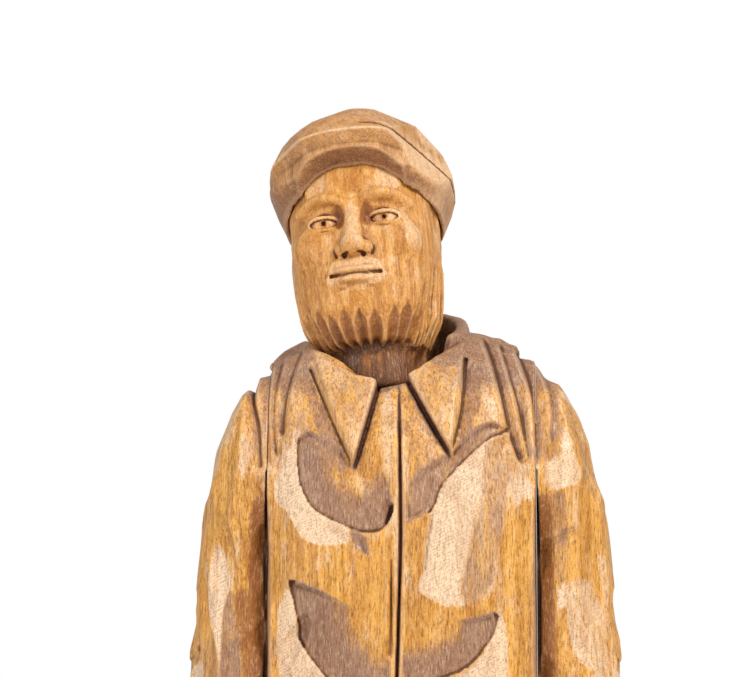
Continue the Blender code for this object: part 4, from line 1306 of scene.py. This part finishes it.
def carved_wood(name, pith, tones, gloss=0.42, fleck=0.75, ring_tone=0.28, lines=0.5):
    """Varnished wood whose colour follows the cuts stored on its points, with painted light on faces that
    turn up and painted shade on faces that turn down and in creases and hollows.
    """
    surface = Surface(name)
    cut = surface.nodes.new("ShaderNodeAttribute")
    cut.attribute_name = "cut"
    split = surface.nodes.new("ShaderNodeSeparateColor")
    surface.links.new(cut.outputs["Color"], split.inputs[0])
    cream, brown, crease = split.outputs
    hollow = cut.outputs["Alpha"]
    late, streaks, pores = grain(surface, pith)
    blotch = surface.noise(surface.scaled((55, 55, 26)), detail=3)
    ragged = surface.noise(surface.scaled((900, 900, 110)), detail=2, rough=0.6)
    mottle = surface.noise(surface.scaled((260, 260, 75)), detail=3, rough=0.65)
    grit = surface.noise(surface.scaled((2100, 2100, 1500)), detail=2, rough=0.7)
    normal_for_painted_light = surface.nodes.new("ShaderNodeNewGeometry").outputs["Normal"]
    up = surface.node("ShaderNodeSeparateXYZ", {0: normal_for_painted_light}, out=2)

    wobble = surface.math("MULTIPLY", surface.math("SUBTRACT", blotch, 0.5), 1.1)
    rag = surface.math("MULTIPLY", surface.math("SUBTRACT", ragged, 0.5), 1.0)
    # Painted light from above: a face that turns up is painted creamier, one that turns down browner.
    lift = surface.math("MULTIPLY_ADD", up, 0.35, surface.math("ADD", cream, wobble))
    to_cream = surface.spread(surface.math("ADD", lift, rag), 0.1, 1.0)
    drop = surface.math("MULTIPLY_ADD", up, -0.3, surface.math("SUBTRACT", brown, wobble))
    to_brown = surface.spread(surface.math("ADD", drop, rag), 0.2, 1.0)
    to_dark = surface.spread(surface.math("ADD", drop, rag), 1.05, 1.75)
    base = surface.mix(surface.spread(streaks, 0.34, 0.62), tones["amber"], tones["gold"])
    base = surface.mix(surface.spread(mottle, 0.52, 0.72, 0.0, 0.6), base, tones["amber"])
    base = surface.mix(surface.spread(mottle, 0.46, 0.28, 0.0, 0.55), base, tones["cream"])
    colour = surface.mix(to_cream, base, tones["cream"])
    colour = surface.mix(to_brown, colour, tones["brown"])
    colour = surface.mix(to_dark, colour, tones["dark"])
    # Negative cream paints the amber dark of deep shadow: painted shade.
    to_painted_shade_amber = surface.spread(surface.math("ADD", cream, rag), -0.15, -1.0)
    colour = surface.mix(to_painted_shade_amber, colour, tones["painted_shade_amber"])
    ring = surface.math("MULTIPLY", late, ring_tone)
    colour = surface.mix(ring, colour, tones["ring"], "MULTIPLY")
    # End grain shows as close lines on the cream cuts, chatter as closer ones here and there.
    across = surface.math("MULTIPLY", tool_lines(surface, 0.85, (-0.55, 0.1, 1.0), 4.5, grit), to_cream)
    chatter = surface.math("MULTIPLY", tool_lines(surface, 0.6, (-0.3, 0.2, 1.0), 5.0, grit),
                           surface.spread(blotch, 0.5, 0.62))
    hatch = surface.math("MAXIMUM", across, surface.math("MULTIPLY", chatter, 0.8))
    colour = surface.mix(surface.math("MULTIPLY", hatch, lines), colour, tones["hatch"])
    # Pores and torn fibres: short dark dashes, and pale ones between them; then a fine speckle.
    coarse = surface.spread(blotch, 0.3, 0.7, 0.55, 0.5)
    values = {"Value": pores, "From Min": coarse, "From Max": 0.70}
    pore = surface.node("ShaderNodeMapRange", values, clamp=True)
    thread = surface.spread(pores, 0.46, 0.30)
    colour = surface.mix(surface.math("MULTIPLY", thread, 0.3), colour, tones["cream"])
    pored = surface.math("MULTIPLY", pore, surface.spread(to_cream, 0, 1, fleck, fleck * 0.55))
    colour = surface.mix(pored, colour, tones["pore"])
    speckle = surface.spread(grit, 0.45, 0.66, 0.0, 0.42)
    colour = surface.mix(speckle, colour, tones["ring"], "MULTIPLY")
    # Creases and hollows are darkened as painted shade; sharp edges get a pale painted highlight.
    deep = surface.spread(crease, 0.55, 0.88, 0.0, 0.9)
    colour = surface.mix(deep, colour, tones["dark"])
    shade = surface.spread(hollow, 0.6, 1.0, 0.0, 0.5)
    colour = surface.mix(shade, colour, tones["brown"], "MULTIPLY")
    edge_highlight = surface.spread(crease, 0.40, 0.12, 0.0, 0.22)
    colour = surface.mix(edge_highlight, colour, tones["cream"])

    height = surface.math("MULTIPLY_ADD", pore, -0.9, surface.math("MULTIPLY", ragged, 0.8))
    height = surface.math("MULTIPLY_ADD", late, 0.3, height)
    height = surface.math("MULTIPLY_ADD", hatch, -0.6, height)
    height = surface.math("MULTIPLY_ADD", grit, 0.7, height)
    surface.bump(height, 0.5, 0.00018)
    rough = surface.math("MULTIPLY_ADD", ragged, 0.2, gloss - 0.1)
    rough = surface.math("MULTIPLY_ADD", deep, 0.25, rough)
    return surface.look(
        Base_Color=colour, Roughness=rough, Specular_IOR_Level=0.32, Coat_Weight=0.12, Coat_Roughness=0.2
    )


JACKET_TONES = {
    "gold": (0.85, 0.43, 0.085), "amber": (0.58, 0.245, 0.032), "cream": (0.92, 0.66, 0.43),
    "brown": (0.39, 0.215, 0.13), "dark": (0.10, 0.034, 0.012), "ring": (0.56, 0.38, 0.24),
    "pore": (0.20, 0.075, 0.022), "hatch": (0.45, 0.25, 0.15), "painted_shade_amber": (0.34, 0.12, 0.022),
}
HEAD_TONES = JACKET_TONES | {
    "gold": (0.82, 0.40, 0.10), "amber": (0.58, 0.235, 0.04), "cream": (0.92, 0.60, 0.32),
    "brown": (0.42, 0.155, 0.035),
}
CAP_TONES = JACKET_TONES | {
    "gold": (0.66, 0.32, 0.10), "amber": (0.50, 0.23, 0.07), "cream": (0.88, 0.57, 0.32),
    "brown": (0.30, 0.13, 0.055),
}
PLINTH_TONES = JACKET_TONES | {
    "gold": (0.40, 0.205, 0.08), "amber": (0.27, 0.12, 0.04), "cream": (0.55, 0.33, 0.16),
}


def dowel_wood():
    surface = Surface("dowel_beech")
    late, streaks, pores = grain(surface, (0.03, 0.05, 0), ring=1.4)
    colour = surface.mix(streaks, (0.66, 0.40, 0.19), (0.78, 0.53, 0.30))
    colour = surface.mix(surface.spread(pores, 0.6, 0.72, 0.0, 0.6), colour, (0.40, 0.20, 0.08))
    surface.bump(surface.math("ADD", late, streaks), 0.25, 0.0001)
    return surface.look(Base_Color=colour, Roughness=surface.spread(streaks, 0.2, 0.8, 0.5, 0.65))


def screw_steel():
    surface = Surface("zinc_steel")
    cloud = surface.noise(surface.scaled((900, 900, 900)), detail=3)
    turned = surface.noise(surface.scaled((200, 200, 9000)), detail=1)
    colour = surface.mix(cloud, (0.58, 0.51, 0.36), (0.66, 0.60, 0.47))
    surface.bump(turned, 0.2, 0.00005)
    return surface.look(Base_Color=colour, Metallic=1.0, Roughness=surface.spread(cloud, 0.3, 0.7,
        0.26, 0.42))


def felt_wool():
    surface = Surface("brown_felt")
    fibres = surface.noise(surface.scaled((2600, 2600, 2600)), detail=3, rough=0.7, distort=1.5)
    clumps = surface.noise(surface.scaled((160, 160, 160)), detail=2)
    colour = surface.mix(fibres, (0.065, 0.042, 0.028), (0.135, 0.098, 0.070))
    colour = surface.mix(surface.spread(clumps, 0.4, 0.7, 0.0, 0.35), colour, (0.075, 0.052, 0.036))
    surface.bump(surface.math("ADD", fibres, clumps), 0.7, 0.0004)
    return surface.look(Base_Color=colour, Roughness=0.95, Sheen_Weight=0.35, Sheen_Roughness=0.5)


def pale_floor():
    surface = Surface("floor_paper")
    cloud = surface.noise(surface.scaled((3, 3, 3)), detail=2)
    colour = surface.mix(cloud, (0.86, 0.86, 0.85), (0.90, 0.90, 0.89))
    return surface.look(Base_Color=colour, Roughness=0.85)


# --- The finished pieces ----------------------------------------------------------------------------------


def dress(obj, material, slot, *nodes):
    obj.data.materials.clear()
    obj.data.materials.append(material)
    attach(obj, "root")
    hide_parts(*nodes)


def add_pieces():
    body, left, right = make_figure()
    jacket = carved_wood("carved_wood_body", (0.035, 0.13, 0), JACKET_TONES)
    dress(body, jacket, "body_wood", "body")
    sleeve = carved_wood("carved_wood_sleeves", (-0.11, 0.08, 0), JACKET_TONES)
    dress(left, sleeve, "body_wood", "arm_left")
    dress(right, sleeve, "body_wood", "arm_right")
    skin = carved_wood(
        "carved_wood_head", (0.02, 0.12, 0), HEAD_TONES, gloss=0.38, fleck=0.45, ring_tone=0.2, lines=0.15
    )
    dress(make_head(), skin, "head_wood", "head")
    crown = carved_wood(
        "carved_wood_cap", (-0.03, 0.09, 0), CAP_TONES, fleck=0.3, ring_tone=0.2, lines=0.15
    )
    dress(make_cap(), crown, "cap_wood", "cap")
    base = carved_wood("carved_wood_plinth", (0.0, 0.05, 0.18), PLINTH_TONES, gloss=0.46, lines=0.2)
    dress(make_plinth(), base, "plinth_wood", "plinth")
    felt = make_felt()
    dress(felt, felt_wool(), "felt", "felt_sheet")
    beech, steel = dowel_wood(), screw_steel()
    for name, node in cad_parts.items():
        if "dowel" in name or "screw" in name:
            node.data.materials.clear()
            node.data.materials.append(beech if "dowel" in name else steel)


# --- Camera, light and floor ------------------------------------------------------------------------------

TARGET = Vector((-0.0079, 0.0, 0.2494))
CAMERA_AZIMUTH = math.radians(3.5)
CAMERA_ELEVATION = math.radians(-7.0)
CAMERA_DISTANCE = 0.70
LENS = 130.0
ROOM_LIGHT = 0.44


def add_camera():
    camera = bpy.data.objects.new("camera", bpy.data.cameras.new("camera"))
    level = math.cos(CAMERA_ELEVATION)
    away = Vector((
        math.sin(CAMERA_AZIMUTH) * level,
        -math.cos(CAMERA_AZIMUTH) * level,
        math.sin(CAMERA_ELEVATION),
    ))
    camera.location = TARGET + away * CAMERA_DISTANCE
    camera.rotation_euler = (-away).to_track_quat("-Z", "Y").to_euler()
    camera.data.lens = LENS
    camera.data.clip_start = 0.01
    bpy.context.scene.collection.objects.link(camera)
    bpy.context.scene.camera = camera


def add_lamp(name, place, size, watts, colour):
    lamp = bpy.data.objects.new(name, bpy.data.lights.new(name, "AREA"))
    lamp.data.size = size
    lamp.data.energy = watts
    lamp.data.color = colour
    lamp.location = place
    lamp.rotation_euler = (TARGET - Vector(place)).to_track_quat("-Z", "Y").to_euler()
    bpy.context.scene.collection.objects.link(lamp)


def add_light():
    add_lamp("key", (0.85, -1.0, 1.15), 0.45, 18.6, (1.0, 0.98, 0.95))
    add_lamp("fill", (-1.1, -0.8, 0.7), 0.9, 7.5, (0.97, 0.98, 1.0))
    bpy.context.scene.view_settings.view_transform = "Standard"
    world = bpy.context.scene.world or bpy.data.worlds.new("studio")
    bpy.context.scene.world = world
    world.use_nodes = True
    nodes, links = world.node_tree.nodes, world.node_tree.links
    light = nodes["Background"]
    light.inputs["Color"].default_value = (1, 1, 1, 1)
    light.inputs["Strength"].default_value = ROOM_LIGHT
    # The camera sees a white backdrop, brighter than the light that it gives.
    backdrop = nodes.new("ShaderNodeBackground")
    backdrop.inputs["Color"].default_value = (1, 1, 1, 1)
    chosen = nodes.new("ShaderNodeMixShader")
    links.new(nodes.new("ShaderNodeLightPath").outputs["Is Camera Ray"], chosen.inputs[0])
    links.new(light.outputs[0], chosen.inputs[1])
    links.new(backdrop.outputs[0], chosen.inputs[2])
    links.new(chosen.outputs[0], nodes["World Output"].inputs["Surface"])


def add_floor():
    mesh = bpy.data.meshes.new("floor")
    bm = bmesh.new()
    bmesh.ops.create_grid(bm, x_segments=4, y_segments=4, size=4)
    bm.to_mesh(mesh)
    bm.free()
    floor = bpy.data.objects.new("floor", mesh)
    floor.data.materials.append(pale_floor())
    bpy.context.scene.collection.objects.link(floor)


add_pieces()
add_camera()
add_light()
add_floor()
